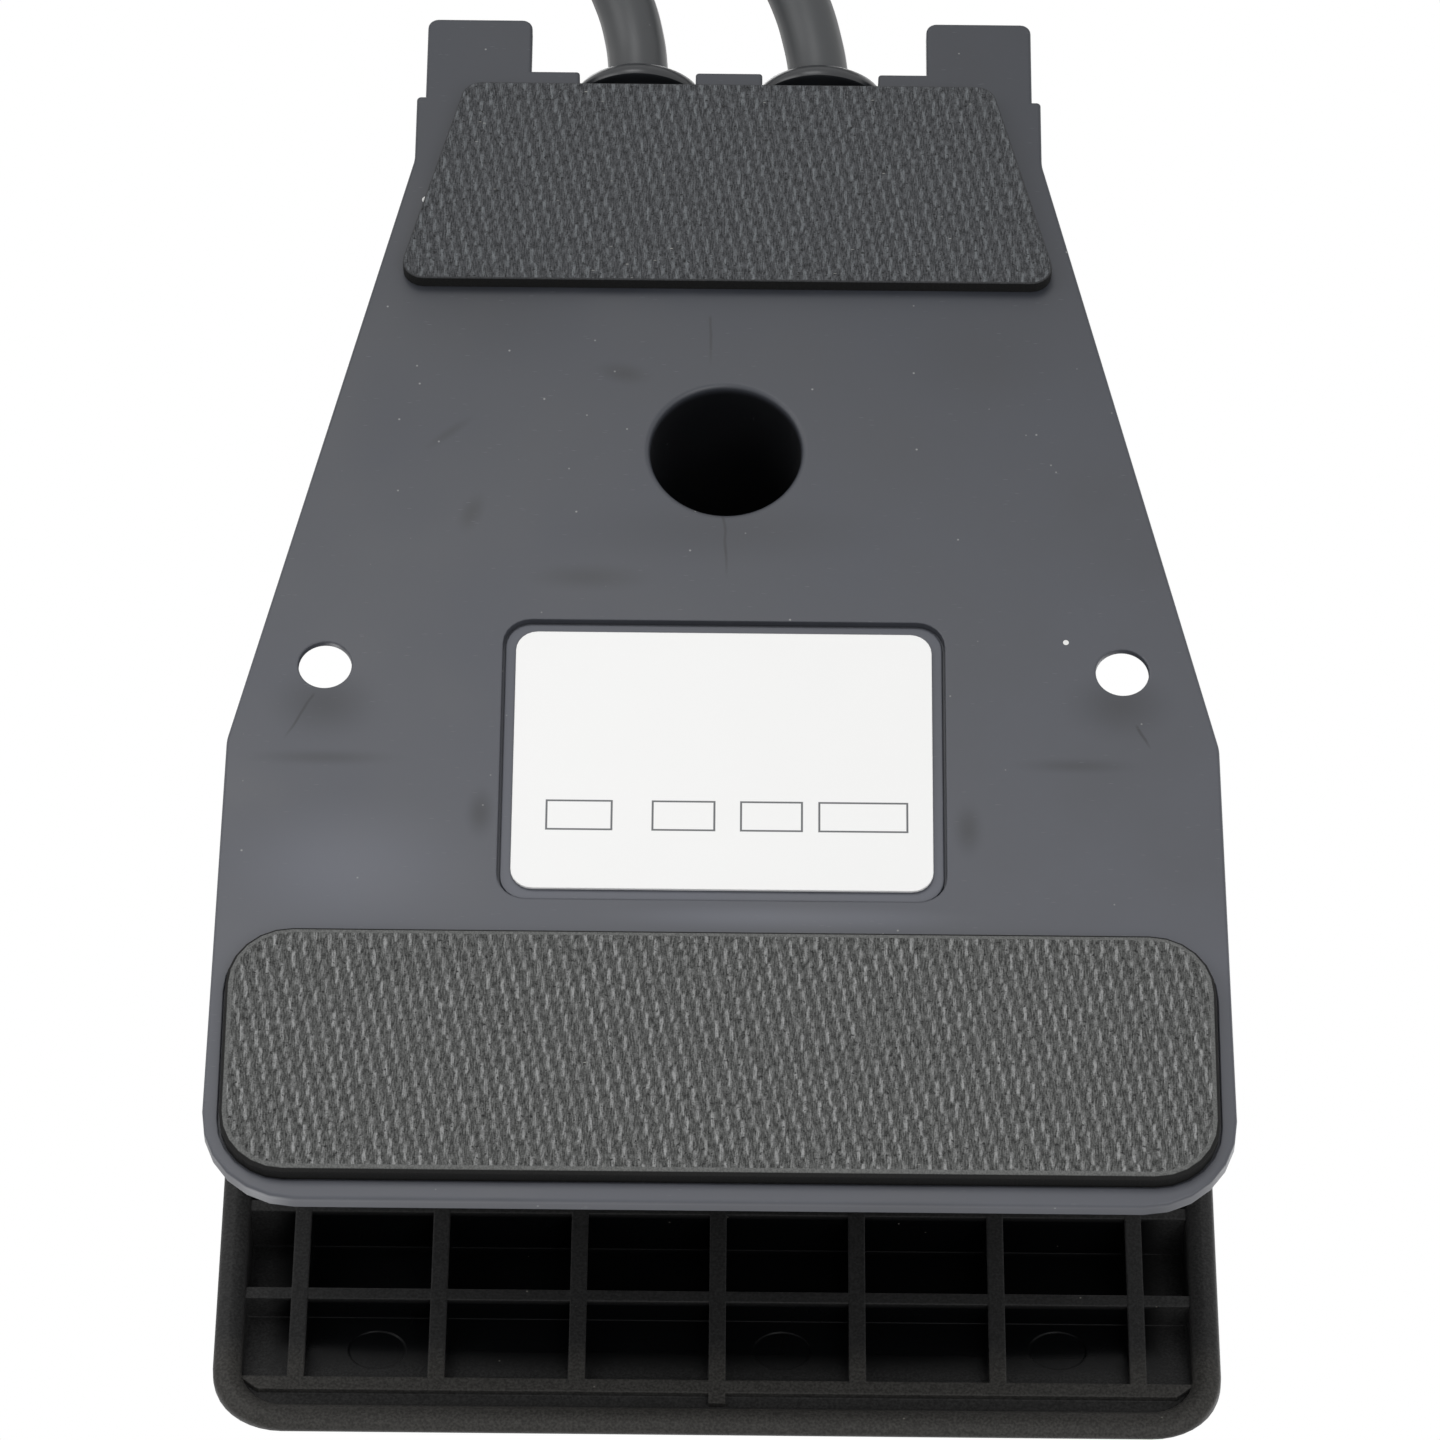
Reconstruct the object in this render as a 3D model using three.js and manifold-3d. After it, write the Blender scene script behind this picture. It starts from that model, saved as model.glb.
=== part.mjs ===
// Foot speed control pedal: a wedge-shaped pedal whose ribbed treadle is hinged on two forked
// posts at the narrow, high rear end and pressed down at the wide toe end. Under the treadle a
// sloping cover holds the speed control: a plunger, a slide potentiometer and a small triac
// circuit. Two cords leave the rear end, one to a wall plug and one to the motor's socket.
//
// Millimetres, +Z up. The pads rest on z = 0. The toe end faces -Y and the cords leave towards
// +Y. x = 0 is the middle, and y = 0 is halfway between the treadle's lip and the rear posts.

import * as THREE from 'three';
import { mergeVertices } from 'three/addons/utils/BufferGeometryUtils.js';
import Module from 'manifold-3d';

const wasm = await Module();
wasm.setup();

// ---------------------------------------------------------------- driving dimensions

const GAP = 0.3;                 // between pieces that touch
const RUNNING = 0.06;            // radial play of the hinge

// base plate, measured from its rear edge towards the toe
const BASE_LENGTH = 159.6;
const BASE_TOE_HALF = 59.8;
const BASE_TOE_TAPER = 0.8;       // the plate narrows by this from its toe to its knee
const BASE_KNEE_AT = 98.5;
const BASE_REAR_HALF = 39.2;
const BASE_FLANK_AT = 13.7;
const BASE_SHOULDER_AT = 4.1;
const BASE_CORNER = 11;
const BASE_KNEE_ROUND = 6;
const PLATE = 2.4;
const PAD_PROUD = 2;             // the pads stand this far below the plate

// hinge posts, whose feet are the two tabs behind the rear edge
const POST_REACH = 8;
const POST_INNER = 24.9;
const POST_OUTER = 38.1;
const POST_FOOT = 36;            // length of a post's foot
const POST_WALL = 2.4;
const POST_STEP = 0.5;            // the post stands this far inside its tab
const POST_BOSS = 7.5;           // radius round the hinge
const POST_ROUND = 1.3;

// treadle
const HINGE_HEIGHT = 50.1;       // hinge axis above the plate's underside
const HINGE_PIN = 2;             // radius
const REST_TILT = THREE.MathUtils.degToRad(8.15);
const TRAVEL = THREE.MathUtils.degToRad(8);
const TREADLE_REACH = 174.2;     // hinge to lip
const TREADLE_TAIL = 8.2;        // behind the hinge
const TREADLE_SET_IN = 0.2;      // the treadle's toe is this much narrower than the plate's
const TREADLE_NECK_HALF = 41.6;
const TREADLE_TOE_LENGTH = 60;   // wide part, to the start of its flare
const TREADLE_FLARE = 17;
const TREADLE_CORNER = 8.5;
const RIB_LEVEL = 7.7;           // underside of the ribs above the hinge axis
const TREADLE_DEPTH = 11.2;      // top face above the ribs' underside
const SHELL = 2.5;
const SKIRT = 3.4;
const NECK_WALL = 3;
const LIP_DROP = 1;              // the lip hangs this far below the ribs
const LIP_ROUND = 2.2;
const TOE_SLOPE = THREE.MathUtils.degToRad(15);
const TOE_SLOPE_LENGTH = 36;
const NECK_SKIRT = 8;            // the neck's skirt hangs this far below the ribs
const RIB = 2;
const RIB_PITCH = 16.6;
const CROSS_RIB = 1.6;
const CROSS_RIB_PITCH = 23.2;
const FIRST_CROSS_RIB = 18.6;    // behind the lip
const SECOND_CROSS_RIB = 31.3;
const NOSE_RIB_AT = 5.65;        // a low cross rib close behind the lip
const NOSE_RIB = 1.85;
const NOSE_FLOOR = 0.9;          // the floor between it and the lip, above the ribs' underside

// tread mat on the treadle
const MAT = 1.6;
const MAT_BAR = 1.1;             // bars stand this far above the mat
const MAT_BAR_PITCH = 6.4;
const MAT_BAR_WIDTH = 3;
const MAT_MARGIN = 6;
const MAT_RECESS = 1;

// openings in the plate
const BUSHING_SLOT_AT = 11.5;    // |x| of each cord
const BUSHING_SLOT_HALF = 7.3;
const BUSHING_SLOT_DEPTH = 2;
const SCREW_HOLE = 3.18;         // radius of the two fixing holes
const SCREW_HOLE_X = 47.7;
const SCREW_HOLE_AT = 88;
const SCREW_SEAT = 6.5;          // radius of the seat round each fixing hole
const SCREW_WEB = 0.9;           // plate left under the seat
const TOWER_BORE = 9.25;
const TOWER_BORE_TOP = 8.4;
const TOWER_AT = 56.8;
const TOWER_WALL = 2;
const TOWER_HEIGHT = 37.5;       // above the plate's underside
const LABEL_RECESS = [53, 38.6, 3.4];
const LABEL = [49.8, 35.4, 2.6];
const LABEL_AT = 100.6;
const LABEL_RECESS_DEPTH = 0.7;
const LABEL_SHEET = 0.35;

// rubber pads
const FRONT_PAD_MARGIN = 2.2;     // plate left outside it
const FRONT_PAD_REAR = 125;
const FRONT_PAD_FRONT = 157;
const FRONT_PAD_CORNER = 7.6;
const FRONT_PAD_RECESS = 0.6;
const REAR_PAD_REAR = 3.2;
const REAR_PAD_FRONT = 33.1;
const REAR_PAD_REAR_HALF = 33;
const REAR_PAD_FRONT_HALF = 40.9;
const REAR_PAD_CORNER = 2.6;

// control bay: walls on the plate, closed by the cover
const CORD_HEIGHT = 9.5;         // cord axis above the plate's underside, where bay and cover part
const BAY_HALF = 36;
const BAY_STEP_AT = 40;
const BAY_FRONT_AT = 120.5;
const BAY_WALL = 2;
const BAY_CORNER = 6;
const COVER_WALL = 2;
const ROOF_CLEAR = 3.2;          // between the roof and the pressed treadle's ribs
const COVER_MAX = 43;            // above the plate's underside
const BOSS = 4;
const COVER_SCREW = 1.5;
const COVER_SCREW_HEAD = 3;
const COVER_SCREW_LENGTH = 12;
const BOSS_HEIGHT = 4;
const FRONT_SCREW = [27, 128.5];
const REAR_SCREW = [18, 27];
const LUG_HEIGHT = 12;

// plunger and potentiometer
const PLUNGER_AT = 103;          // ahead of the rear edge
const PLUNGER = 6;
const PLUNGER_DOME = 8;
const PLUNGER_BORE = 3.9;
const PLUNGER_FLANGE = 8;
const PLUNGER_PLAY = 0.4;
const PLUNGER_WIRE = 0.7;
const PLUNGER_SPRING = 3.2;
const PLUNGER_SPRING_TURNS = 8;
const POT_SIZE = [7, 9];
const POT_FROM_AXIS = 10.2;
const WIPER = 1.6;
const WIPER_THICK = 1;

// return spring
const SPRING_WIRE = 1.3;
const SPRING = 6.8;
const SPRING_TURNS = 5;
const SPIGOT = 4.6;
const SPIGOT_HEIGHT = 4;

// bump stops on the roof
const BUMP_AT = 114;
const BUMP = 3.6;

// circuit
const BOARD_LENGTH = 48;
const BOARD_SHEET = 1.6;
const BOARD_OFF_WALL = 1.1;
const BOARD_OFF_TOWER = 2.65;
const BOARD_EDGE = 2;            // board left bare beside what stands on it
const BOARD_AT = 68.4;
const BOARD_STAND = 3;
const BLOCK = [11, 24, 11];
const BLOCK_X = 25;
const BLOCK_AT = 60;
const SCREW_STEP = 8;
const TERMINAL_SCREW = 1.8;
const TERMINAL_WELL = 4;

// cords
const CORD = 3.8;                // radius
const LEAD = 1.1;                // radius of an inner lead
const CLAMP_AT = 9;              // ahead of the bay's rear wall
const CLAMP_HALF = 3.5;
const CLAMP_HEIGHT = 8;
const CLAMP_MARGIN = 1.2;
const CLAMP_SCREW = 1.4;
const CLAMP_SCREW_HEAD = 1.8;
const FLANGE = 8.7;
const FLANGE_THICK = 3.5;
const BUSHING_TAIL = 18;
const BUSHING_TAIL_END = 4.6;

// coils, each wound in two layers of three turns, one behind the other in line with the pedal
const TIE_THICK = 1.2;
const TIE_HALF = 5;               // half its width
const TIE_TURN = 135;             // degrees from +Y round its coil, counter-clockwise
const COIL_LAYERS = 2;
const SUPPLY_COIL = { x: -4.3, y: 172.7, outer: 56.2, inner: 33.4 };
const MOTOR_COIL = { x: 9.5, y: 279.1, outer: 50.3, inner: 27.5 };

// ---------------------------------------------------------------- places worked out from them

const HINGE_BEHIND = POST_REACH - POST_BOSS;
const LIP_MIDDLE = RIB_LEVEL - LIP_DROP + LIP_ROUND;
const LIP_AHEAD = TREADLE_REACH * Math.cos(REST_TILT) + LIP_MIDDLE * Math.sin(REST_TILT) - HINGE_BEHIND;
const REAR = (LIP_AHEAD - POST_REACH) / 2;
const FLOOR = PAD_PROUD;                       // the plate's underside
const DECK = FLOOR + PLATE;                    // the plate's upper face
const PARTING = FLOOR + CORD_HEIGHT;
const TREADLE_TOE_HALF = BASE_TOE_HALF - TREADLE_SET_IN;
const HINGE_Y = REAR + HINGE_BEHIND;
const HINGE_Z = FLOOR + HINGE_HEIGHT;
const ahead = (distance) => REAR - distance;   // y of a place measured from the rear edge

// height of the ribs' underside at y, with the treadle turned by an angle from level
const ribLine = (y, angle) =>
  HINGE_Z + RIB_LEVEL / Math.cos(angle) + (y - HINGE_Y) * Math.tan(angle);
const roof = (y) => Math.min(ribLine(y, REST_TILT + TRAVEL) - ROOF_CLEAR, FLOOR + COVER_MAX);

// ---------------------------------------------------------------- shapes

const ARC = 3;                   // straight steps in a quarter of a rounded corner
const ROUND = 16;                // sides of a turned piece

const X = new THREE.Vector3(1, 0, 0);
const Y = new THREE.Vector3(0, 1, 0);
const Z = new THREE.Vector3(0, 0, 1);
const at = (x, y, z) => new THREE.Vector3(x, y, z);

// closed outline through corners [x, y, radius], each one rounded by an arc
function outline(corners) {
  const shape = new THREE.Shape();
  corners.forEach(([x, y, radius = 0], i) => {
    const here = new THREE.Vector2(x, y);
    const [px, py] = corners.at(i - 1);
    const [nx, ny] = corners[(i + 1) % corners.length];
    const back = new THREE.Vector2(px, py).sub(here);
    const on = new THREE.Vector2(nx, ny).sub(here);
    const line = i === 0 ? 'moveTo' : 'lineTo';
    if (radius === 0) {
      shape[line](x, y);
      return;
    }
    const half = Math.abs(back.angleTo(on)) / 2;
    const reach = Math.min(radius / Math.tan(half), back.length() * 0.48, on.length() * 0.48);
    const r = reach * Math.tan(half);
    const start = here.clone().addScaledVector(back.clone().normalize(), reach);
    const end = here.clone().addScaledVector(on.clone().normalize(), reach);
    const inward = back.clone().normalize().add(on.clone().normalize()).normalize();
    const middle = here.clone().addScaledVector(inward, r / Math.sin(half));
    const turn = (p) => Math.atan2(p.y - middle.y, p.x - middle.x);
    shape[line](start.x, start.y);
    shape.absarc(middle.x, middle.y, r, turn(start), turn(end), back.cross(on) > 0);
  });
  shape.closePath();
  return shape;
}

// the same corners on both sides of x = 0, given for x > 0 from the toe to the rear
const mirrored = (corners) =>
  outline([...corners, ...corners.map(([x, y, radius]) => [-x, y, radius]).reverse()]);

const rounded = (width, length, radius, x = 0, y = 0) => outline([
  [x + width / 2, y - length / 2, radius], [x + width / 2, y + length / 2, radius],
  [x - width / 2, y + length / 2, radius], [x - width / 2, y - length / 2, radius],
]);

// outlines pushed along an axis: a plan along Z, a side view (y, z) along X
function plan(shape, low, high) {
  const depth = high - low;
  return new THREE.ExtrudeGeometry(shape, { depth, bevelEnabled: false, curveSegments: ARC })
    .translate(0, 0, low);
}

function side(shape, left, right) {
  const depth = right - left;
  return new THREE.ExtrudeGeometry(shape, { depth, bevelEnabled: false, curveSegments: ARC })
    .applyMatrix4(new THREE.Matrix4().makeBasis(Y, Z, X)).translate(left, 0, 0);
}

function box(x0, x1, y0, y1, z0, z1) {
  return new THREE.BoxGeometry(x1 - x0, y1 - y0, z1 - z0)
    .translate((x0 + x1) / 2, (y0 + y1) / 2, (z0 + z1) / 2);
}

// a round rod between two points, narrower at its end if a second radius is given
function rod(radius, from, to, endRadius = radius, sides = ROUND) {
  const along = to.clone().sub(from);
  const turn = new THREE.Quaternion().setFromUnitVectors(Y, along.clone().normalize());
  return new THREE.CylinderGeometry(endRadius, radius, along.length(), sides)
    .translate(0, along.length() / 2, 0).applyQuaternion(turn).translate(from.x, from.y, from.z);
}

// a turned piece: the profile's points are [radius, distance along the axis]
function turned(profile, from, axis = Z, sides = ROUND) {
  const points = profile.map(([r, d]) => new THREE.Vector2(r, d));
  const turn = new THREE.Quaternion().setFromUnitVectors(Y, axis);
  return new THREE.LatheGeometry(points, sides).applyQuaternion(turn)
    .translate(from.x, from.y, from.z);
}

// a round wire or tube along a list of points
function tube(points, radius, steps, sides = 8) {
  const path = new THREE.CatmullRomCurve3(points, false, 'centripetal');
  const section = new THREE.Shape();
  for (let i = 0; i < sides; i += 1) {
    const turn = (2 * Math.PI * i) / sides;
    section[i ? 'lineTo' : 'moveTo'](radius * Math.cos(turn), radius * Math.sin(turn));
  }
  section.closePath();
  return new THREE.ExtrudeGeometry(section, { steps, extrudePath: path, bevelEnabled: false });
}

// a compression spring with its wire's middle on a helix about a vertical axis
function coilSpring(radius, wire, turns, x, y, low, high, stepsPerTurn = 12, sides = 6) {
  const points = [];
  const steps = turns * stepsPerTurn;
  for (let i = 0; i <= steps; i += 1) {
    const turn = (2 * Math.PI * i) / stepsPerTurn;
    const rise = low + wire + ((high - low - 2 * wire) * i) / steps;
    points.push(at(x + radius * Math.cos(turn), y + radius * Math.sin(turn), rise));
  }
  return tube(points, wire, steps, sides);
}

// ---------------------------------------------------------------- joining and cutting

function solid(geometry) {
  const bare = geometry.clone();
  bare.deleteAttribute('normal');
  bare.deleteAttribute('uv');
  const merged = mergeVertices(bare, 1e-4);
  return new wasm.Manifold(new wasm.Mesh({
    numProp: 3,
    vertProperties: new Float32Array(merged.attributes.position.array),
    triVerts: new Uint32Array(merged.index.array),
  }));
}

const joined = (...pieces) => pieces.map(solid).reduce((all, piece) => all.add(piece));
const cut = (body, ...tools) => tools.map(solid).reduce((left, tool) => left.subtract(tool), body);

function geometryOf(body) {
  const mesh = body.getMesh();
  const geometry = new THREE.BufferGeometry();
  geometry.setAttribute('position', new THREE.BufferAttribute(mesh.vertProperties, 3));
  geometry.setIndex(new THREE.BufferAttribute(mesh.triVerts, 1));
  geometry.computeVertexNormals();
  return geometry;
}

// ---------------------------------------------------------------- finishes

const finish = (color, roughness, metalness = 0) =>
  () => new THREE.MeshStandardMaterial({ color, roughness, metalness });
const blackPlastic = finish(0x2b2d30, 0.45);
const greyPlastic = finish(0x505357, 0.42);
const treadlePlastic = finish(0x1c1d1f, 0.4);
const padRubber = finish(0x2c2c2b, 0.9);
const cordRubber = finish(0x303235, 0.5);
const whiteLabel = finish(0xf2f2f0, 0.4);
const steel = finish(0xb4b6b8, 0.35, 1);
const brass = finish(0xc8a560, 0.35, 1);
const aluminium = finish(0xc2c4c6, 0.4, 1);
const boardGreen = finish(0x2c5a3a, 0.5);
const copper = finish(0xb4703c, 0.35, 1);
const filmYellow = finish(0xc9a13a, 0.5);
const wireBlack = finish(0x1b1b1c, 0.5);
const wireWhite = finish(0xe4e2dc, 0.5);
const wireGreen = finish(0x2d7a45, 0.5);
const nylon = finish(0xd8d6cd, 0.5);

const pedal = new THREE.Group();

function part(name, shape, material) {
  const geometry = shape.isBufferGeometry ? shape : geometryOf(shape);
  const mesh = new THREE.Mesh(geometry, material());
  mesh.name = name;
  pedal.add(mesh);
}

// ---------------------------------------------------------------- base

const FRONT = ahead(BASE_LENGTH);

// half of the plate's outline, from the toe end to the rear
const plateCorners = [
  [BASE_TOE_HALF, FRONT, BASE_CORNER],
  [BASE_TOE_HALF - BASE_TOE_TAPER, ahead(BASE_KNEE_AT), BASE_KNEE_ROUND],
  [BASE_REAR_HALF, ahead(BASE_FLANK_AT), BASE_KNEE_ROUND],
  [BASE_REAR_HALF, ahead(BASE_SHOULDER_AT), 0.5],
  [POST_OUTER, ahead(BASE_SHOULDER_AT)],
  [POST_OUTER, REAR + POST_REACH, POST_ROUND],
  [POST_INNER, REAR + POST_REACH, POST_ROUND],
  [POST_INNER, REAR],
  [BUSHING_SLOT_AT + BUSHING_SLOT_HALF, REAR],
  [BUSHING_SLOT_AT + BUSHING_SLOT_HALF, REAR - BUSHING_SLOT_DEPTH],
  [BUSHING_SLOT_AT - BUSHING_SLOT_HALF, REAR - BUSHING_SLOT_DEPTH],
  [BUSHING_SLOT_AT - BUSHING_SLOT_HALF, REAR],
];

// outline of the control bay, or of the cover inside it, drawn in by a margin
function bayOutline(inset, postGap = 0) {
  const front = ahead(BAY_FRONT_AT) + inset;
  const step = ahead(BAY_STEP_AT) - inset;
  const rearHalf = POST_INNER - inset - postGap;
  const back = ahead(BUSHING_SLOT_DEPTH) - inset;
  return mirrored([
    [BAY_HALF - inset, front, BAY_CORNER - inset],
    [BAY_HALF - inset, step, 2],
    [rearHalf, step, 0],
    [rearHalf, back, 0],
  ]);
}

// side view of a hinge post: a foot on the plate and a boss round the hinge
function postOutline() {
  const back = REAR + POST_REACH - POST_STEP;
  const foot = back - POST_FOOT;
  const low = DECK - PLATE / 2;
  const slope = Math.atan2(HINGE_Z - DECK, HINGE_Y - foot);
  return outline([
    [foot, low], [back, low], [back, HINGE_Z + POST_BOSS, POST_BOSS * 0.9],
    [HINGE_Y - POST_BOSS / Math.tan(slope), HINGE_Z + POST_BOSS, POST_BOSS * 0.9],
    [foot, DECK + BOSS_HEIGHT, 2],
  ]);
}

function post(sign) {
  const [inner, outer] = [POST_INNER + POST_STEP, POST_OUTER - POST_STEP];
  const cheeks = [[inner, inner + POST_WALL], [outer - POST_WALL, outer]];
  const walls = cheeks.map(([a, b]) =>
    solid(side(postOutline(), Math.min(sign * a, sign * b), Math.max(sign * a, sign * b))));
  const back = REAR + POST_REACH - POST_STEP;
  const lugSwing = HINGE_Z - POST_BOSS - 3;
  const [left, right] = [Math.min(sign * inner, sign * outer), Math.max(sign * inner, sign * outer)];
  walls.push(solid(box(left, right, back - POST_WALL, back, DECK - PLATE / 2, lugSwing)));
  return walls.reduce((all, wall) => all.add(wall));
}

const hingeBore = (radius, from, to) =>
  rod((radius + RUNNING) / Math.cos(Math.PI / ROUND), at(from, HINGE_Y, HINGE_Z), at(to, HINGE_Y, HINGE_Z));

const screwPlaces = [FRONT_SCREW, REAR_SCREW].flatMap(([x, distance]) =>
  [[x, ahead(distance)], [-x, ahead(distance)]]);
const screwNames = ['front_right', 'front_left', 'rear_right', 'rear_left'];
const towerY = ahead(TOWER_AT);
const plungerY = ahead(PLUNGER_AT);
const boardY = ahead(BOARD_AT);
const boardReach = [TOWER_BORE + TOWER_WALL + BOARD_OFF_TOWER, BAY_HALF - BAY_WALL - BOARD_OFF_WALL];
const boardWide = boardReach[1] - boardReach[0];
const boardX = -(boardReach[0] + boardReach[1]) / 2;
const slotPlaces = [-BUSHING_SLOT_AT, BUSHING_SLOT_AT];

function basePlate() {
  const plate = solid(plan(mirrored(plateCorners), FLOOR, DECK));
  const wallBlock = solid(plan(bayOutline(0), FLOOR, PARTING));
  const hollow = solid(plan(bayOutline(BAY_WALL), DECK, PARTING + 1));
  let body = plate.add(wallBlock.subtract(hollow)).add(post(1)).add(post(-1));
  const tower = turned([
    [0, FLOOR], [TOWER_BORE + TOWER_WALL, FLOOR], [TOWER_BORE_TOP + TOWER_WALL, FLOOR + TOWER_HEIGHT],
    [SPIGOT, FLOOR + TOWER_HEIGHT], [SPIGOT - 0.6, FLOOR + TOWER_HEIGHT + SPIGOT_HEIGHT],
    [0, FLOOR + TOWER_HEIGHT + SPIGOT_HEIGHT],
  ], at(0, towerY, 0));
  body = body.add(solid(tower));
  for (const [x, y] of screwPlaces) {
    body = body.add(solid(rod(BOSS, at(x, y, FLOOR), at(x, y, DECK + BOSS_HEIGHT))));
  }
  // spigot inside the plunger's spring, and two stands under the circuit board
  body = body.add(solid(rod(PLUNGER_SPRING - PLUNGER_WIRE * 2 - GAP, at(0, plungerY, FLOOR),
    at(0, plungerY, DECK + 2.5), 1.2, 12)));
  for (const end of [-1, 1]) {
    const y = boardY + end * (BOARD_LENGTH / 2 - 4);
    body = body.add(solid(rod(2.6, at(boardX, y, FLOOR), at(boardX, y, DECK + BOARD_STAND), 2.6, 12)));
  }
  body = cut(body,
    turned([[0, FLOOR - 1], [TOWER_BORE + 0.7, FLOOR - 1], [TOWER_BORE + 0.3, FLOOR], [TOWER_BORE, FLOOR + 0.6],
      [TOWER_BORE_TOP, FLOOR + TOWER_HEIGHT - TOWER_WALL],
      [0, FLOOR + TOWER_HEIGHT - TOWER_WALL]], at(0, towerY, 0), Z, 32),
    plan(rounded(...LABEL_RECESS, 0, ahead(LABEL_AT)), FLOOR - 1, FLOOR + LABEL_RECESS_DEPTH),
    plan(frontPadOutline(GAP), FLOOR - 1, FLOOR + FRONT_PAD_RECESS),
    hingeBore(HINGE_PIN, -POST_OUTER - 1, POST_OUTER + 1));
  for (const sign of [-1, 1]) {
    const [x, y] = [sign * SCREW_HOLE_X, ahead(SCREW_HOLE_AT)];
    body = cut(body, rod(SCREW_HOLE, at(x, y, FLOOR - 1), at(x, y, DECK + 1)),
      rod(SCREW_SEAT, at(x, y, FLOOR + SCREW_WEB), at(x, y, DECK + 1)));
  }
  for (const [x, y] of screwPlaces) {
    const seat = DECK + BOSS_HEIGHT - 2;
    body = cut(body, rod(COVER_SCREW_HEAD + GAP, at(x, y, FLOOR - 1), at(x, y, seat)),
      rod(COVER_SCREW + GAP, at(x, y, FLOOR - 1), at(x, y, DECK + BOSS_HEIGHT + 1), COVER_SCREW + GAP, 16));
  }
  // half-round seats for the cord bushings in the bay's rear wall
  for (const x of slotPlaces) {
    const rear = ahead(BUSHING_SLOT_DEPTH);
    body = cut(body, rod(CORD + 1.6 + GAP, at(x, rear - BAY_WALL - 1, PARTING), at(x, rear + 1, PARTING)));
  }
  return body;
}

part('base_plate', basePlate(), greyPlastic);

// ---------------------------------------------------------------- pads and label

function frontPadOutline(margin) {
  const half = BASE_TOE_HALF - FRONT_PAD_MARGIN + margin;
  const [rear, front] = [ahead(FRONT_PAD_REAR) + margin, ahead(FRONT_PAD_FRONT) - margin];
  return mirrored([[half, front, FRONT_PAD_CORNER], [half, rear, FRONT_PAD_CORNER]]);
}

const rearPadOutline = () => mirrored([
  [REAR_PAD_FRONT_HALF, ahead(REAR_PAD_FRONT), REAR_PAD_CORNER],
  [REAR_PAD_REAR_HALF, ahead(REAR_PAD_REAR), REAR_PAD_CORNER],
]);

part('front_pad', plan(frontPadOutline(0), 0, FLOOR + FRONT_PAD_RECESS - GAP), padRubber);
part('rear_pad', plan(rearPadOutline(), 0, FLOOR - GAP), padRubber);

const labelTop = FLOOR + LABEL_RECESS_DEPTH - GAP / 2;
part('label_plate', plan(rounded(...LABEL, 0, ahead(LABEL_AT)), labelTop - LABEL_SHEET, labelTop), whiteLabel);

// ---------------------------------------------------------------- control cover

// side view of the cover: a level rear part and a roof that falls towards the toe
function coverProfile(inset, foot) {
  const front = ahead(BAY_FRONT_AT) + inset;
  const back = ahead(BUSHING_SLOT_DEPTH) - inset;
  const top = FLOOR + COVER_MAX;
  const slope = Math.tan(REST_TILT + TRAVEL);
  const ridge = front - inset + (top - roof(front - inset)) / slope;
  const drop = inset === 0 ? 0 : COVER_WALL;
  return outline([
    [front, foot], [back, foot], [back, top - drop, inset === 0 ? 4 : 2],
    [ridge, top - drop, 8], [front, roof(front) - drop, inset === 0 ? 3 : 1],
  ]);
}

function controlCover() {
  const foot = PARTING + GAP;
  const [wide, reach] = [BAY_HALF + 1, REAR + 1];
  const outer = solid(plan(bayOutline(0, 0.4), foot, FLOOR + COVER_MAX + 1))
    .intersect(solid(side(coverProfile(0, foot - 1), -wide, wide)));
  const inner = solid(plan(bayOutline(COVER_WALL, 0.4), foot - 1, FLOOR + COVER_MAX + 1))
    .intersect(solid(side(coverProfile(COVER_WALL, foot - 2), -wide, wide)));
  let body = outer.subtract(inner);
  // screw columns: two inside the rear part, two in lugs ahead of the front wall
  for (const [x, y] of screwPlaces) {
    const inFront = y < ahead(BAY_FRONT_AT);
    const low = DECK + BOSS_HEIGHT + GAP;
    const top = inFront ? low + LUG_HEIGHT : roof(y) - COVER_WALL / 2;
    body = body.add(solid(rod(BOSS, at(x, y, low), at(x, y, top))));
    if (inFront) {
      const wall = ahead(BAY_FRONT_AT);
      body = body.add(solid(box(x - 1.2, x + 1.2, y, wall + COVER_WALL / 2, foot + 0.6, low + LUG_HEIGHT - 2)));
    }
    body = cut(body, rod(COVER_SCREW + 0.1, at(x, y, low - 1), at(x, y, low + COVER_SCREW_LENGTH - 3),
      COVER_SCREW + 0.1, 16));
  }
  // guide collar for the plunger
  const collar = roof(plungerY);
  const collarLow = collar - COVER_WALL - 2;
  body = body.add(solid(rod(PLUNGER + 2.4, at(0, plungerY, collarLow), at(0, plungerY, collar + 0.4))));
  body = cut(body,
    rod(PLUNGER + PLUNGER_PLAY, at(0, plungerY, collar - 10), at(0, plungerY, collar + 6)),
    rod(TOWER_BORE + TOWER_WALL + 0.6, at(0, towerY, PARTING), at(0, towerY, FLOOR + COVER_MAX + 2)));
  for (const x of slotPlaces) {
    const rear = ahead(BUSHING_SLOT_DEPTH);
    body = cut(body, rod(CORD + 1.6 + GAP, at(x, rear - BAY_WALL - 1, PARTING), at(x, rear + 1, PARTING)));
  }
  for (const x of [-RIB_PITCH, RIB_PITCH]) {
    const y = ahead(BUMP_AT);
    body = cut(body, rod(BUMP / 2 + GAP, at(x, y, roof(y) - 5), at(x, y, roof(y) + 5), BUMP / 2 + GAP, 16));
  }
  return body;
}

part('control_cover', controlCover(), blackPlastic);

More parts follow.
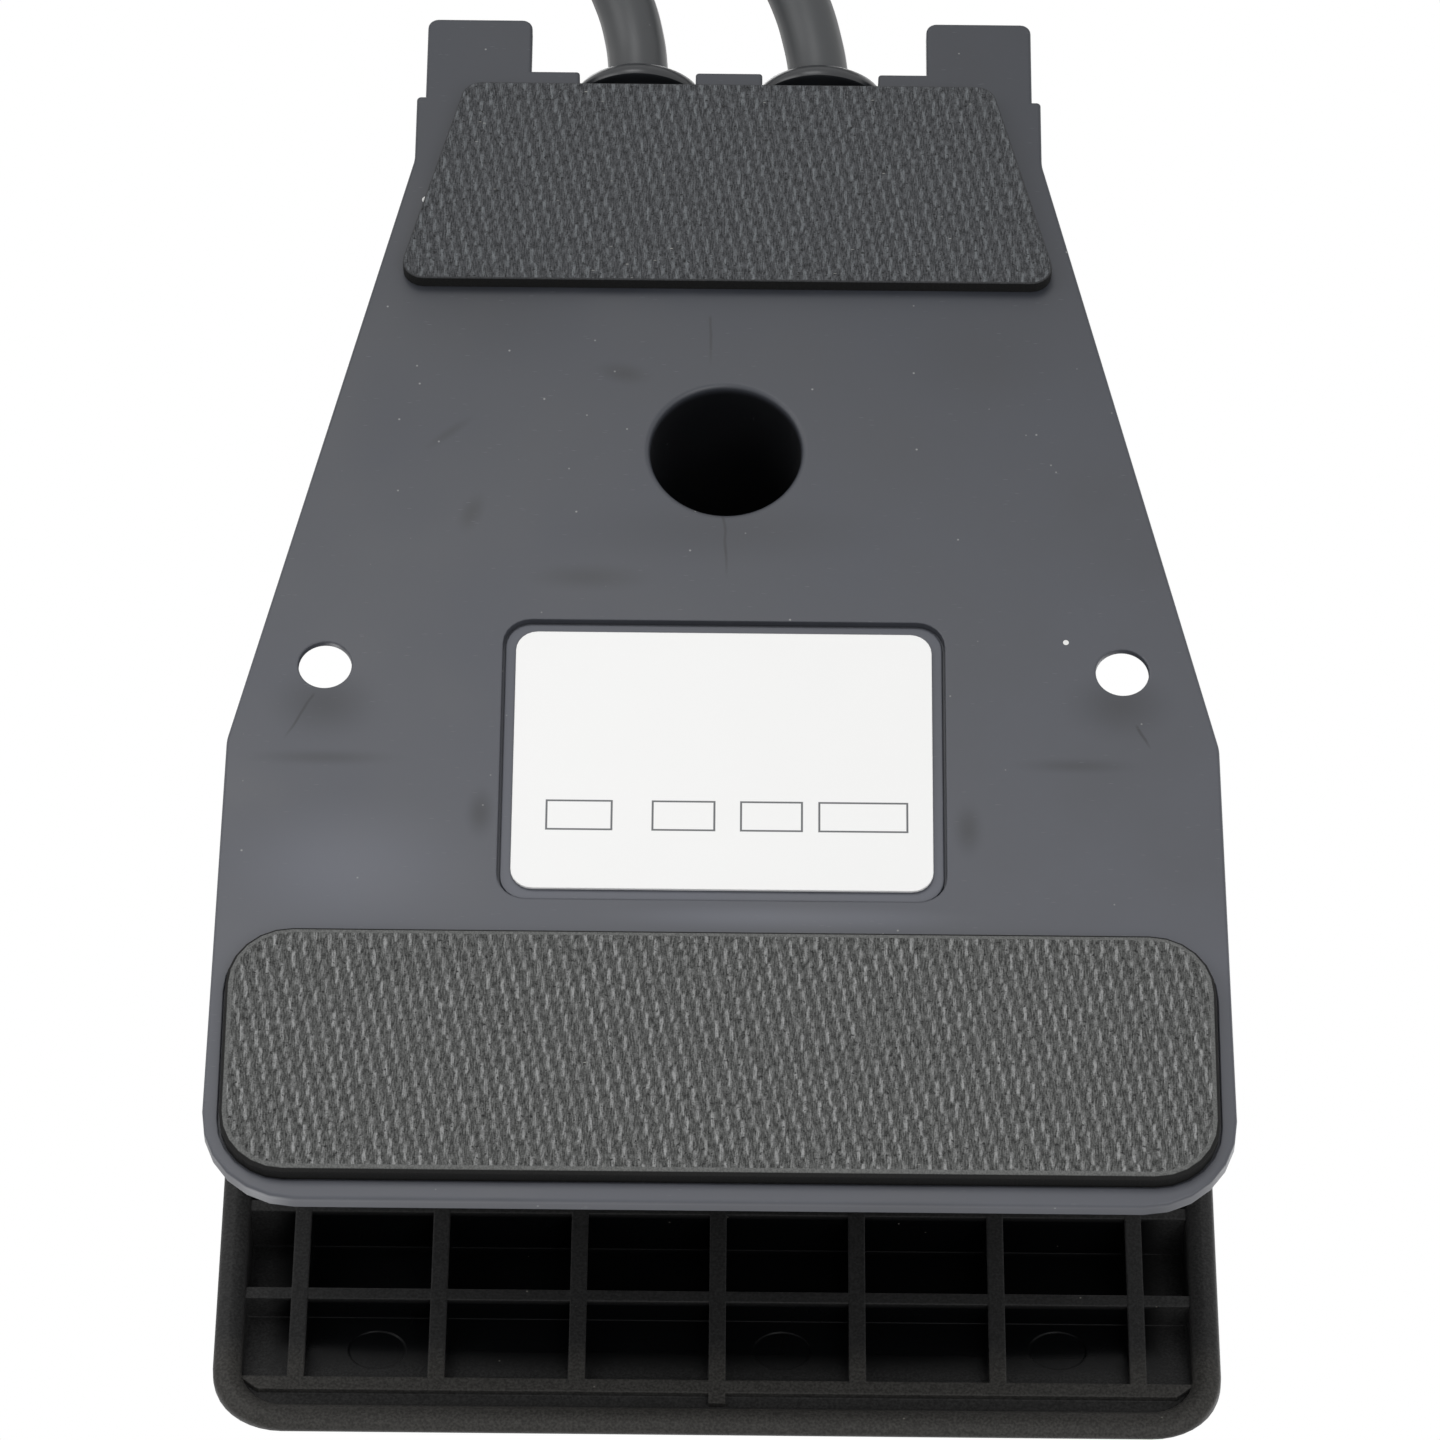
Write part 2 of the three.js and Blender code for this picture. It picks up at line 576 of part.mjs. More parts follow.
screwPlaces.forEach(([x, y], i) => {
  const seat = DECK + BOSS_HEIGHT - 2 - GAP;
  const head = seat - 2.2;
  const shape = turned([
    [0, head], [COVER_SCREW_HEAD, head], [COVER_SCREW_HEAD, seat], [COVER_SCREW - 0.2, seat],
    [COVER_SCREW - 0.2, seat + COVER_SCREW_LENGTH - 2], [0, seat + COVER_SCREW_LENGTH - 1],
  ], at(x, y, 0), Z, 16);
  part(`cover_screw_${screwNames[i]}`, shape, steel);
});

// ---------------------------------------------------------------- treadle

// the treadle is drawn level with its hinge at the origin, then turned to its rest angle
const toRest = (geometry) => geometry.rotateX(REST_TILT).translate(0, HINGE_Y, HINGE_Z);
const LIP = -TREADLE_REACH;
const NECK_END = LIP + TREADLE_TOE_LENGTH;
const TOP = RIB_LEVEL + TREADLE_DEPTH;

// plan of the treadle, drawn in by a margin: a wide toe, a flare and a neck
function treadleOutline(inset) {
  const toe = TREADLE_TOE_HALF - inset;
  const neck = TREADLE_NECK_HALF - inset;
  return mirrored([
    [toe, LIP + inset, Math.max(TREADLE_CORNER - inset, 1)],
    [toe, NECK_END - inset * 0.4, 9],
    [neck, NECK_END + TREADLE_FLARE - inset * 0.4, 12],
    [neck, TREADLE_TAIL - inset, Math.max(5 - inset, 1)],
  ]);
}

// side view under a line that lies a depth below the treadle's top face
function topProfile(depth, low) {
  const breakAt = LIP + TOE_SLOPE_LENGTH;
  const fall = Math.tan(TOE_SLOPE);
  const nose = LIP + LIP_ROUND;
  const noseTop = TOP - depth - (breakAt - nose) * fall;
  return outline([
    [LIP - 5, low], [TREADLE_TAIL + 5, low], [TREADLE_TAIL + 5, TOP - depth],
    [breakAt, TOP - depth, 30], [nose, noseTop, LIP_ROUND], [LIP - 5, noseTop - 9],
  ]);
}

function treadleShell() {
  const wide = TREADLE_TOE_HALF + 5;
  const rim = RIB_LEVEL - LIP_DROP;
  const deep = -HINGE_HEIGHT;
  const underTop = solid(side(topProfile(0, deep), -wide, wide));
  const underPlate = solid(side(topProfile(SHELL, deep), -wide, wide));
  const neckBottom = RIB_LEVEL - NECK_SKIRT;
  const neckFront = NECK_END + TREADLE_FLARE - 3;
  const neckBlock = (inset, bottom) => solid(plan(mirrored([
    [TREADLE_NECK_HALF - inset, neckFront + inset * 2, 3],
    [TREADLE_NECK_HALF - inset, TREADLE_TAIL - inset, 5 - inset],
  ]), bottom, rim + 1));
  const outer = solid(plan(treadleOutline(0), rim, TOP + 1)).intersect(underTop)
    .add(neckBlock(0, neckBottom));
  const inner = solid(plan(treadleOutline(SKIRT), deep, TOP + 1)).intersect(underPlate);
  let shell = outer.subtract(inner);
  shell = shell.subtract(neckBlock(NECK_WALL, neckBottom - 1));
  // the posts, the cover and its rear wall pass up into the neck's open front and rear sides
  shell = cut(shell,
    box(-POST_OUTER - 0.5, POST_OUTER + 0.5, TREADLE_TAIL - SKIRT - 3, TREADLE_TAIL + 1, -30, RIB_LEVEL + 1),
    box(-BAY_HALF - 2, BAY_HALF + 2, neckFront - 1, neckFront + SKIRT * 3, -30, RIB_LEVEL));
  return shell;
}

function ribs() {
  const toe = TREADLE_TOE_HALF;
  const intoPlate = solid(side(topProfile(SHELL - 0.6, -HINGE_HEIGHT), -toe, toe));
  const inside = solid(plan(treadleOutline(SKIRT - 0.4), RIB_LEVEL, TOP)).intersect(intoPlate);
  const bars = [];
  for (let x = 0; x < toe - SKIRT - RIB; x += RIB_PITCH) {
    for (const sign of x === 0 ? [1] : [-1, 1]) {
      bars.push(box(sign * x - RIB / 2, sign * x + RIB / 2, LIP, TREADLE_TAIL - 22, RIB_LEVEL, TOP));
    }
  }
  const crossRib = (y, width, low) => bars.push(box(-toe, toe, y, y + width, low, TOP));
  crossRib(LIP + FIRST_CROSS_RIB, CROSS_RIB, RIB_LEVEL);
  for (let y = LIP + SECOND_CROSS_RIB; y < TREADLE_TAIL - 24; y += CROSS_RIB_PITCH) {
    crossRib(y, CROSS_RIB, RIB_LEVEL);
  }
  crossRib(LIP + NOSE_RIB_AT, NOSE_RIB, RIB_LEVEL);
  crossRib(LIP + SKIRT - 1, NOSE_RIB_AT - SKIRT + 1.5, RIB_LEVEL + NOSE_FLOOR);
  return joined(...bars).intersect(inside);
}

function hingeLug(sign) {
  const reach = POST_STEP + POST_WALL + 0.5;
  const [near, far] = [POST_INNER + reach, POST_OUTER - reach];
  const radius = POST_BOSS - 2;
  const shape = outline([
    [-14, TOP - SHELL + 0.6], [-radius, -radius, radius * 0.95], [radius, -radius, radius * 0.95],
    [radius, TOP - SHELL + 0.6],
  ]);
  return solid(side(shape, Math.min(sign * near, sign * far), Math.max(sign * near, sign * far)));
}

function treadle() {
  let body = treadleShell().add(ribs()).add(hingeLug(1)).add(hingeLug(-1));
  body = body.subtract(solid(plan(matOutline(0), TOP - MAT_RECESS, TOP + 2)));
  const bore = (HINGE_PIN + RUNNING) / Math.cos(Math.PI / ROUND);
  body = cut(body, rod(bore, at(-POST_OUTER, 0, 0), at(POST_OUTER, 0, 0)));
  const level = geometryOf(body);
  let rest = solid(toRest(level));
  // level seat for the return spring's upper end, and the pad that the plunger bears on
  const seatZ = springTop + GAP;
  const plateZ = ribLine(towerY, REST_TILT) + (TREADLE_DEPTH - SHELL + 1) / Math.cos(REST_TILT);
  const wellRadius = SPRING + SPRING_WIRE + 0.8;
  const cleared = rod(wellRadius, at(0, towerY, HINGE_Z - 20), at(0, towerY, plateZ - 1.5));
  rest = rest.subtract(solid(cleared));
  const ring = rod(wellRadius + 1.6, at(0, towerY, seatZ - 4), at(0, towerY, plateZ + 4));
  const well = rod(wellRadius, at(0, towerY, seatZ - 6), at(0, towerY, seatZ));
  const underMat = solid(toRest(box(-20, 20, LIP, 0, 0, TOP - MAT_RECESS - 0.4)));
  rest = rest.add(solid(ring).intersect(underMat).subtract(solid(well)));
  const bearing = rod(PLUNGER - 1, at(0, plungerY, HINGE_Z - 20), at(0, plungerY, HINGE_Z + 10));
  const overRibs = solid(toRest(box(-20, 20, LIP, 0, RIB_LEVEL, TOP - MAT_RECESS - 0.4)));
  return rest.add(solid(bearing).intersect(overRibs));
}

// ---------------------------------------------------------------- tread mat

function matOutline(margin) {
  const inset = MAT_MARGIN + margin;
  return mirrored([
    [TREADLE_TOE_HALF - inset, LIP + TOE_SLOPE_LENGTH + 4 + margin, 3],
    [TREADLE_TOE_HALF - inset, NECK_END - 3, 8],
    [TREADLE_NECK_HALF - inset, NECK_END + TREADLE_FLARE - 2, 10],
    [TREADLE_NECK_HALF - inset, TREADLE_TAIL - inset, 5],
  ]);
}

function treadMat() {
  const floor = TOP - MAT_RECESS + GAP;
  let mat = solid(plan(matOutline(GAP), floor, floor + MAT));
  const bars = [];
  const first = LIP + TOE_SLOPE_LENGTH + 8;
  for (let y = first; y + MAT_BAR_WIDTH < TREADLE_TAIL - MAT_MARGIN - 2; y += MAT_BAR_PITCH) {
    const [low, high] = [floor + MAT / 2, floor + MAT + MAT_BAR];
    bars.push(box(-TREADLE_TOE_HALF, TREADLE_TOE_HALF, y, y + MAT_BAR_WIDTH, low, high));
  }
  const inside = solid(plan(matOutline(GAP + 1.5), floor, floor + MAT + MAT_BAR));
  mat = mat.add(joined(...bars).intersect(inside));
  return toRest(geometryOf(mat));
}

// ---------------------------------------------------------------- return spring and hinge pins

const springLow = FLOOR + TOWER_HEIGHT + GAP;
const springTop = ribLine(towerY, REST_TILT) + 5.4;

part('treadle', treadle(), treadlePlastic);
part('tread_mat', treadMat(), padRubber);
part('return_spring',
  coilSpring(SPRING, SPRING_WIRE / 2, SPRING_TURNS, 0, towerY, springLow, springTop), steel);

for (const [name, sign] of [['right', 1], ['left', -1]]) {
  const [near, far] = [POST_INNER + POST_STEP + 0.2, POST_OUTER - POST_STEP - 0.2];
  part(`hinge_pin_${name}`,
    rod(HINGE_PIN, at(sign * near, HINGE_Y, HINGE_Z), at(sign * far, HINGE_Y, HINGE_Z)), steel);
}

// ---------------------------------------------------------------- plunger, potentiometer, stops

const plungerTop = ribLine(plungerY, REST_TILT) - PLUNGER_PLAY;
const flangeTop = roof(plungerY - PLUNGER_FLANGE) - COVER_WALL - GAP - 0.4;
const flangeLow = flangeTop - 1.6;
const boreTop = plungerTop - 4;

function plunger() {
  const dome = [];
  for (let i = 0; i <= 5; i += 1) {
    const r = PLUNGER * (1 - i / 5);
    dome.push([r, plungerTop - PLUNGER_DOME + Math.sqrt(PLUNGER_DOME ** 2 - r ** 2)]);
  }
  const body = solid(turned([
    [0, flangeLow], [PLUNGER_FLANGE, flangeLow], [PLUNGER_FLANGE, flangeTop], [PLUNGER, flangeTop], ...dome,
  ], at(0, plungerY, 0)));
  const bore = rod(PLUNGER_BORE, at(0, plungerY, flangeLow - 1), at(0, plungerY, boreTop), PLUNGER_BORE, 16);
  return cut(body, bore);
}

part('plunger', plunger(), nylon);
const plungerWire = PLUNGER_WIRE / 2;
part('plunger_spring', coilSpring(PLUNGER_SPRING - plungerWire, plungerWire, PLUNGER_SPRING_TURNS,
  0, plungerY, DECK + GAP, boreTop - GAP, 8, 5), steel);

// the potentiometer stands on the plate beside the plunger, with its slot towards it
const potLow = DECK + GAP;
const potTop = roof(plungerY - POT_SIZE[1] / 2) - COVER_WALL - GAP;
const slotHalf = WIPER / 2 + 0.4;

function potentiometer() {
  const [width, depth] = POT_SIZE;
  const x = POT_FROM_AXIS;
  const body = solid(box(x, x + width, plungerY - depth / 2, plungerY + depth / 2, potLow, potTop));
  const [near, far] = [plungerY - slotHalf, plungerY + slotHalf];
  return cut(body, box(x - 1, x + width - 2, near, far, potLow + 0.8, potTop - 0.6));
}

part('potentiometer', potentiometer(), blackPlastic);
part('wiper_arm', box(PLUNGER_FLANGE + GAP, POT_FROM_AXIS + POT_SIZE[0] - 2.6,
  plungerY - WIPER / 2, plungerY + WIPER / 2, flangeTop - WIPER_THICK, flangeTop), brass);

for (const [name, x] of [['right', RIB_PITCH], ['left', -RIB_PITCH]]) {
  const y = ahead(BUMP_AT);
  const seat = roof(y) + BUMP * Math.tan(REST_TILT + TRAVEL) + GAP;
  const top = roof(y) + ROOF_CLEAR - BUMP * Math.tan(REST_TILT + TRAVEL) - GAP;
  part(`bump_stop_${name}`, turned([
    [0, seat - 5], [BUMP / 2, seat - 5], [BUMP / 2, seat], [BUMP, seat],
    [BUMP, top - 0.3], [BUMP - 0.6, top], [0, top],
  ], at(x, y, 0), Z, 16), padRubber);
}

// ---------------------------------------------------------------- circuit

const boardLow = DECK + BOARD_STAND + GAP;
const boardTop = boardLow + BOARD_SHEET;
part('circuit_board', plan(rounded(boardWide, BOARD_LENGTH, 1, boardX, boardY), boardLow, boardTop), boardGreen);

const onBoard = boardTop + GAP;
const sinkY = boardY + 14;
function heatSink() {
  const [half, fins] = [boardWide / 2 - BOARD_EDGE - 0.5, 4];
  let body = solid(box(boardX - half, boardX + half, sinkY, sinkY + 2, onBoard, onBoard + 17));
  for (let i = 0; i < fins; i += 1) {
    const x = boardX - half + (i * (2 * half - 1.4)) / (fins - 1);
    body = body.add(solid(box(x, x + 1.4, sinkY + 1, sinkY + 8, onBoard, onBoard + 17)));
  }
  return body;
}
part('heat_sink', heatSink(), aluminium);
part('triac', joined(
  box(boardX - 5, boardX + 5, sinkY - 4.6 - GAP, sinkY - GAP, onBoard + 4, onBoard + 13),
  box(boardX - 5, boardX + 5, sinkY - 1.3 - GAP, sinkY - GAP, onBoard + 12, onBoard + 16),
  box(boardX - 3, boardX + 3, sinkY - 3 - GAP, sinkY - 2 - GAP, onBoard, onBoard + 5),
), blackPlastic);
const capacitor = rounded(boardWide - 2 * BOARD_EDGE, 7, 1, boardX, boardY + 3);
part('film_capacitor', plan(capacitor, onBoard, onBoard + 11), filmYellow);

// toroid choke lying on the board
part('choke', turned([[3.2, -3], [7.6, -3], [8.2, 0], [7.6, 3], [3.2, 3], [2.8, 0], [3.2, -3]],
  at(boardX, boardY - 12, onBoard + 3.1), Z, 20), copper);

const [blockX, blockY] = [BLOCK_X, ahead(BLOCK_AT)];
const blockLow = DECK + GAP;
const blockTop = blockLow + BLOCK[2];
const screwSteps = [-SCREW_STEP, 0, SCREW_STEP];
const screwWell = blockTop - TERMINAL_WELL;
function terminalBlock() {
  const [half, reach] = [BLOCK[0] / 2, BLOCK[1] / 2];
  const body = solid(box(blockX - half, blockX + half, blockY - reach, blockY + reach, blockLow, blockTop));
  const hole = TERMINAL_SCREW + GAP;
  return cut(body, ...screwSteps.map((step) =>
    rod(hole, at(blockX, blockY + step, screwWell), at(blockX, blockY + step, blockTop + 1), hole, 12)));
}
part('terminal_block', terminalBlock(), nylon);
screwSteps.forEach((step, i) => {
  const [low, high] = [screwWell + GAP, blockTop - 2 * GAP].map((z) => at(blockX, blockY + step, z));
  part(`terminal_screw_${i + 1}`, rod(TERMINAL_SCREW, low, high, TERMINAL_SCREW, 10), brass);
});

// ---------------------------------------------------------------- cord bushings and clamp

const flangeFace = REAR + GAP + FLANGE_THICK;   // outer face, where the cord comes out

function bushing(x) {
  const wall = ahead(BUSHING_SLOT_DEPTH);
  const neck = CORD + 1.6;
  const face = flangeFace - wall;
  const [flangeBack, inside] = [REAR + GAP - wall, -BAY_WALL - GAP];
  return turned([
    [0, inside - BUSHING_TAIL], [BUSHING_TAIL_END, inside - BUSHING_TAIL], [neck + 0.6, inside - 3],
    [neck + 1.3, inside - 2.4], [neck + 1.3, inside], [neck, inside], [neck, flangeBack],
    [FLANGE - 0.4, flangeBack], [FLANGE, flangeBack + 0.9], [FLANGE - 0.6, face - 1.2],
    [FLANGE - 2.2, face - 0.2], [CORD + 0.8, face], [0, face],
  ], at(x, wall, PARTING), Y);
}
part('supply_cord_bushing', bushing(-BUSHING_SLOT_AT), cordRubber);
part('motor_cord_bushing', bushing(BUSHING_SLOT_AT), cordRubber);

const clampY = ahead(BUSHING_SLOT_DEPTH) - BAY_WALL - CLAMP_AT;
const clampLow = PARTING + GAP;
const clampTop = clampLow + CLAMP_HEIGHT;
function cordClamp() {
  const half = POST_INNER - BAY_WALL - CLAMP_MARGIN;
  const body = solid(box(-half, half, clampY - CLAMP_HALF, clampY + CLAMP_HALF, clampLow, clampTop));
  const hole = CLAMP_SCREW + 2 * GAP;
  const [near, far] = [clampY - CLAMP_HALF - 1, clampY + CLAMP_HALF + 1];
  return cut(body, ...slotPlaces.map((x) => rod(CORD + 2.4, at(x, near, PARTING), at(x, far, PARTING))),
    rod(hole, at(0, clampY, clampLow - 1), at(0, clampY, clampTop + 1), hole, 16));
}
part('cord_clamp', cordClamp(), blackPlastic);
part('cord_clamp_screw', turned([
  [0, DECK + GAP], [CLAMP_SCREW, DECK + GAP], [CLAMP_SCREW, clampTop + GAP], [2 * CLAMP_SCREW, clampTop + GAP],
  [2 * CLAMP_SCREW, clampTop + CLAMP_SCREW_HEAD], [0, clampTop + CLAMP_SCREW_HEAD],
], at(0, clampY, 0), Z, 16), steel);

// inner leads between the bushings, the terminal block and the board
const tailEnd = ahead(BUSHING_SLOT_DEPTH) - BAY_WALL - GAP - BUSHING_TAIL - GAP;
const fromBushing = (x, z) => [at(x, tailEnd - GAP, z), at(x, tailEnd - 3 * LEAD, z)];
const overScrew = (step) => at(blockX, blockY + step, blockTop + LEAD + GAP);

// a lead that sags or rises a little between its two ends
function lead(name, start, end, rise, material) {
  const from = start.at(-1);
  const bow = [0.25, 0.5, 0.75].map((t) => {
    const point = from.clone().lerp(end[0], t);
    point.z += rise * Math.sin(Math.PI * t);
    return point;
  });
  part(name, tube([...start, ...bow, ...end], LEAD, 12, 6), material);
}
lead('line_lead', fromBushing(-BUSHING_SLOT_AT, PARTING), [overScrew(0)], 3 * LEAD, wireBlack);
lead('motor_lead', fromBushing(BUSHING_SLOT_AT - LEAD, PARTING + 2 * LEAD), [overScrew(SCREW_STEP)],
  2 * LEAD, wireWhite);
lead('board_lead', [overScrew(-SCREW_STEP), overScrew(-SCREW_STEP).add(at(-BLOCK[0] / 2 - LEAD, 0, 0))],
  [at(boardX + boardWide / 2 - LEAD, boardY - BOARD_LENGTH * 0.3, boardTop + LEAD + GAP)], LEAD, wireBlack);
const groundLevel = PARTING - 2 * LEAD - GAP;
lead('ground_lead', fromBushing(-BUSHING_SLOT_AT, groundLevel),
  fromBushing(BUSHING_SLOT_AT, groundLevel).reverse(), -2 * LEAD, wireGreen);

// ---------------------------------------------------------------- cords, coils, plug and socket

const lying = CORD + 0.1;        // height of the middle of a cord that lies on the floor
const exit = (x) => at(x, flangeFace + GAP, PARTING);

// hand-picked routes: out of the bushing and down to the coil; the motor cord passes the first one
const SUPPLY_ROUTE = [
  exit(-BUSHING_SLOT_AT), at(-11.5, 86.2, 11.5), at(-11.35, 89.8, 11.4), at(-10.65, 94, 10.85),
  at(-9.2, 99, 9.75), at(-6.6, 104.4, 8.35), at(-2.8, 110, 7), at(0.5, 113.7, 6.4),
];
const MOTOR_ROUTE = [
  exit(BUSHING_SLOT_AT), at(11.5, 86.2, 11.5), at(11.6, 89.8, 11.35), at(12.1, 94, 10.75), at(13.5, 99, 9.5),
  at(16.4, 104.6, 7.7), at(20.8, 110.4, 6), at(26.4, 116, 4.7), at(33.2, 122, lying + 0.1),
  at(40.2, 129, lying), at(46.6, 138, lying), at(51.8, 149, lying), at(55, 161, lying),
  at(56, 173, lying), at(56, 190, lying), at(56, 208, lying), at(56, 226, lying),
  at(56, 244, 4.1), at(56, 251.7, 4.4),
];

// and from where each cord has risen clear of its coil to what lies on it
const SUPPLY_TAIL = [
  at(38.3, 202.8, 21.2), at(35.6, 205.7, 22), at(28.9, 210.6, 23.6), at(21.1, 213.7, 24.6),
  at(12.9, 214.7, 25),
];
const MOTOR_TAIL = [
  at(48.3, 303.8, 21.2), at(45.6, 306.8, 22), at(39, 311.9, 23.6), at(31.4, 315, 24.6),
  at(23.1, 316.1, 25),
];

part('supply_cord', tube(SUPPLY_ROUTE, CORD, 12, 10), cordRubber);
part('motor_cord', tube(MOTOR_ROUTE, CORD, 34, 10), cordRubber);
part('supply_cord_tail', tube(SUPPLY_TAIL, CORD, 7, 10), cordRubber);
part('motor_cord_tail', tube(MOTOR_TAIL, CORD, 7, 10), cordRubber);

const coilLow = TIE_THICK + 2 * GAP;
const coilHigh = coilLow + COIL_LAYERS * 2 * CORD;
const COIL_SIDES = 32;
function coil({ x, y, outer, inner }) {
  const chamfer = 1.4;
  return turned([
    [inner, coilLow + chamfer], [inner + chamfer, coilLow], [outer - chamfer, coilLow],
    [outer, coilLow + chamfer], [outer, coilHigh - chamfer], [outer - chamfer, coilHigh],
    [inner + chamfer, coilHigh], [inner, coilHigh - chamfer], [inner, coilLow + chamfer],
  ], at(x, y, 0), Z, COIL_SIDES);
}
part('supply_cord_coil', coil(SUPPLY_COIL), cordRubber);
part('motor_cord_coil', coil(MOTOR_COIL), cordRubber);

// a flat tie round each coil's turns, at one side
function coilTie({ x, y, outer, inner }) {
  const inside = inner * Math.cos(Math.PI / COIL_SIDES);
  const [near, far] = [Math.sqrt(inside ** 2 - TIE_HALF ** 2) - GAP, outer + GAP];
  const [low, high] = [coilLow - GAP, coilHigh + GAP];
  const loop = (grow) => outline([
    [near - grow, low - grow, 1.5], [far + grow, low - grow, 1.5],
    [far + grow, high + grow, 1.5], [near - grow, high + grow, 1.5],
  ]);
  return solid(side(loop(TIE_THICK), -TIE_HALF, TIE_HALF))
    .subtract(solid(side(loop(0), -TIE_HALF - 1, TIE_HALF + 1)))
    .rotate([0, 0, TIE_TURN]).translate([x, y, 0]);
}
part('supply_coil_tie', coilTie(SUPPLY_COIL), blackPlastic);
part('motor_coil_tie', coilTie(MOTOR_COIL), blackPlastic);

// plug and socket bodies lie on their coils, along X
const PLUG = { length: 30, half: 12.5, waist: 7, axis: 7.7, thick: 16, relief: 20, taper: 14 };
const BLADE = { reach: 16, at: 6.35, half: 3.2, thick: 1.5, drop: 1.4, seat: 3 };
const GROUND_PIN = { radius: 2.4, rise: 4.2, longer: 2 };
const plugLow = coilHigh + GAP;
const plugZ = plugLow + PLUG.axis;
const bladeZ = plugZ - BLADE.drop;
const pinZ = plugZ + GROUND_PIN.rise;
const bladePlaces = [BLADE.at, -BLADE.at];

// a flat blade, or the slot round one, between two places along X
const blade = (tip, dy, from, to, margin = 0) => {
  const [half, tall] = [BLADE.thick / 2 + margin, BLADE.half + margin];
  const y = tip.y + dy;
  return box(Math.min(from, to), Math.max(from, to), y - half, y + half, bladeZ - tall, bladeZ + tall);
};
const groundPin = (tip, from, to, margin = 0, end = GROUND_PIN.radius + margin) =>
  rod(GROUND_PIN.radius + margin, at(from, tip.y, pinZ), at(to, tip.y, pinZ), end, 12);

// a moulded grip with a round strain relief; depth is that of the holes in its face
function plugBody(tip, depth, margin) {
  const waist = tip.x - PLUG.relief;
  const face = waist - PLUG.length;
  const shoulder = face + PLUG.taper;
  const grip = plan(outline([
    [waist, tip.y - PLUG.waist, 3], [shoulder, tip.y - PLUG.half, 4], [face, tip.y - PLUG.half, 1.5],
    [face, tip.y + PLUG.half, 1.5], [shoulder, tip.y + PLUG.half, 4], [waist, tip.y + PLUG.waist, 3],
  ]), plugLow, plugLow + PLUG.thick);
  const relief = rod(CORD + 1.2, at(tip.x - 2 * GAP, tip.y, plugZ), at(waist - 2, tip.y, plugZ), CORD + 3.2, 16);
  const [from, to] = [face + depth, face - 1];
  return cut(joined(grip, relief), ...bladePlaces.map((dy) => blade(tip, dy, from, to, margin)),
    groundPin(tip, from, to, margin));
}

const supplyTip = SUPPLY_TAIL.at(-1);
const plugFace = supplyTip.x - PLUG.relief - PLUG.length;
part('plug_body', plugBody(supplyTip, BLADE.seat + GAP, GAP), blackPlastic);
bladePlaces.forEach((dy, i) => part(`plug_blade_${['left', 'right'][i]}`,
  blade(supplyTip, dy, plugFace + BLADE.seat, plugFace - BLADE.reach), brass));
part('plug_ground_pin', groundPin(supplyTip, plugFace + BLADE.seat,
  plugFace - BLADE.reach - GROUND_PIN.longer, 0, GROUND_PIN.radius - GAP), brass);

const motorTip = MOTOR_TAIL.at(-1);
const socketFace = motorTip.x - PLUG.relief - PLUG.length;
const SOCKET_DEPTH = 12;
part('socket_body', plugBody(motorTip, SOCKET_DEPTH, GAP + 0.1), blackPlastic);
bladePlaces.forEach((dy, i) => part(`socket_contact_${['left', 'right'][i]}`,
  blade(motorTip, dy, socketFace + 4, socketFace + SOCKET_DEPTH - 2 * GAP), brass));

export default pedal;
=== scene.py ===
# A foot speed control pedal, seen from below: the grey base plate with its two pads and label,
# the ribbed inside of the black treadle beyond the plate's toe, and the two cords at the rear.
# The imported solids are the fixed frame. Sizes here are in millimetres, and meshes are made in metres.

import math

import bpy
from mathutils import Matrix, Vector


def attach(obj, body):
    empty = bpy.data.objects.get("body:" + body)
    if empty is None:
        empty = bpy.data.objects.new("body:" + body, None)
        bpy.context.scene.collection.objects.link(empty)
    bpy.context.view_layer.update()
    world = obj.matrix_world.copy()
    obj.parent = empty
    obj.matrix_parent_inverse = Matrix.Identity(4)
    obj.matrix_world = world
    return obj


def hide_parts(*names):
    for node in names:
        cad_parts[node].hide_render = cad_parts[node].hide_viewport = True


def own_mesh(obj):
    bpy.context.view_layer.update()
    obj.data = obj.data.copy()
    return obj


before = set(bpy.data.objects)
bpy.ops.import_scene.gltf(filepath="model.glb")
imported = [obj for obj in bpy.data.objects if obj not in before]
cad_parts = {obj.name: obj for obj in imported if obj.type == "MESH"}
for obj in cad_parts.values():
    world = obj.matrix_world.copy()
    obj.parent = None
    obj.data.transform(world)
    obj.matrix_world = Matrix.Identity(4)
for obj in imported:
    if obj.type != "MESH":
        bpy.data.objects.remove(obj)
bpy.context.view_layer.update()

MM = 0.001

# ---------------------------------------------------------------- camera
# A long lens below the toe end, looking up at the underside. The camera stands where the
# photograph's edges and holes put it, so the pedal fills the frame and its rear leaves at the top.

CAMERA_TILT = math.radians(58.96)
CAMERA_TURN = math.radians(-0.088)
CAMERA_ROLL = math.radians(0.635)
CAMERA_AT = Vector((1.06, -448.5, -722.3)) * MM
CAMERA_LENS = 177.46
CAMERA_SENSOR = 36.0

level_right = Vector((-math.cos(CAMERA_TURN), math.sin(CAMERA_TURN), 0))
level_ahead = Vector((math.sin(CAMERA_TURN), math.cos(CAMERA_TURN), 0))
look = level_ahead * math.cos(CAMERA_TILT) + Vector((0, 0, math.sin(CAMERA_TILT)))
level_up = level_right.cross(look)
camera_right = level_right * math.cos(CAMERA_ROLL) + level_up * math.sin(CAMERA_ROLL)
camera_up = level_up * math.cos(CAMERA_ROLL) - level_right * math.sin(CAMERA_ROLL)

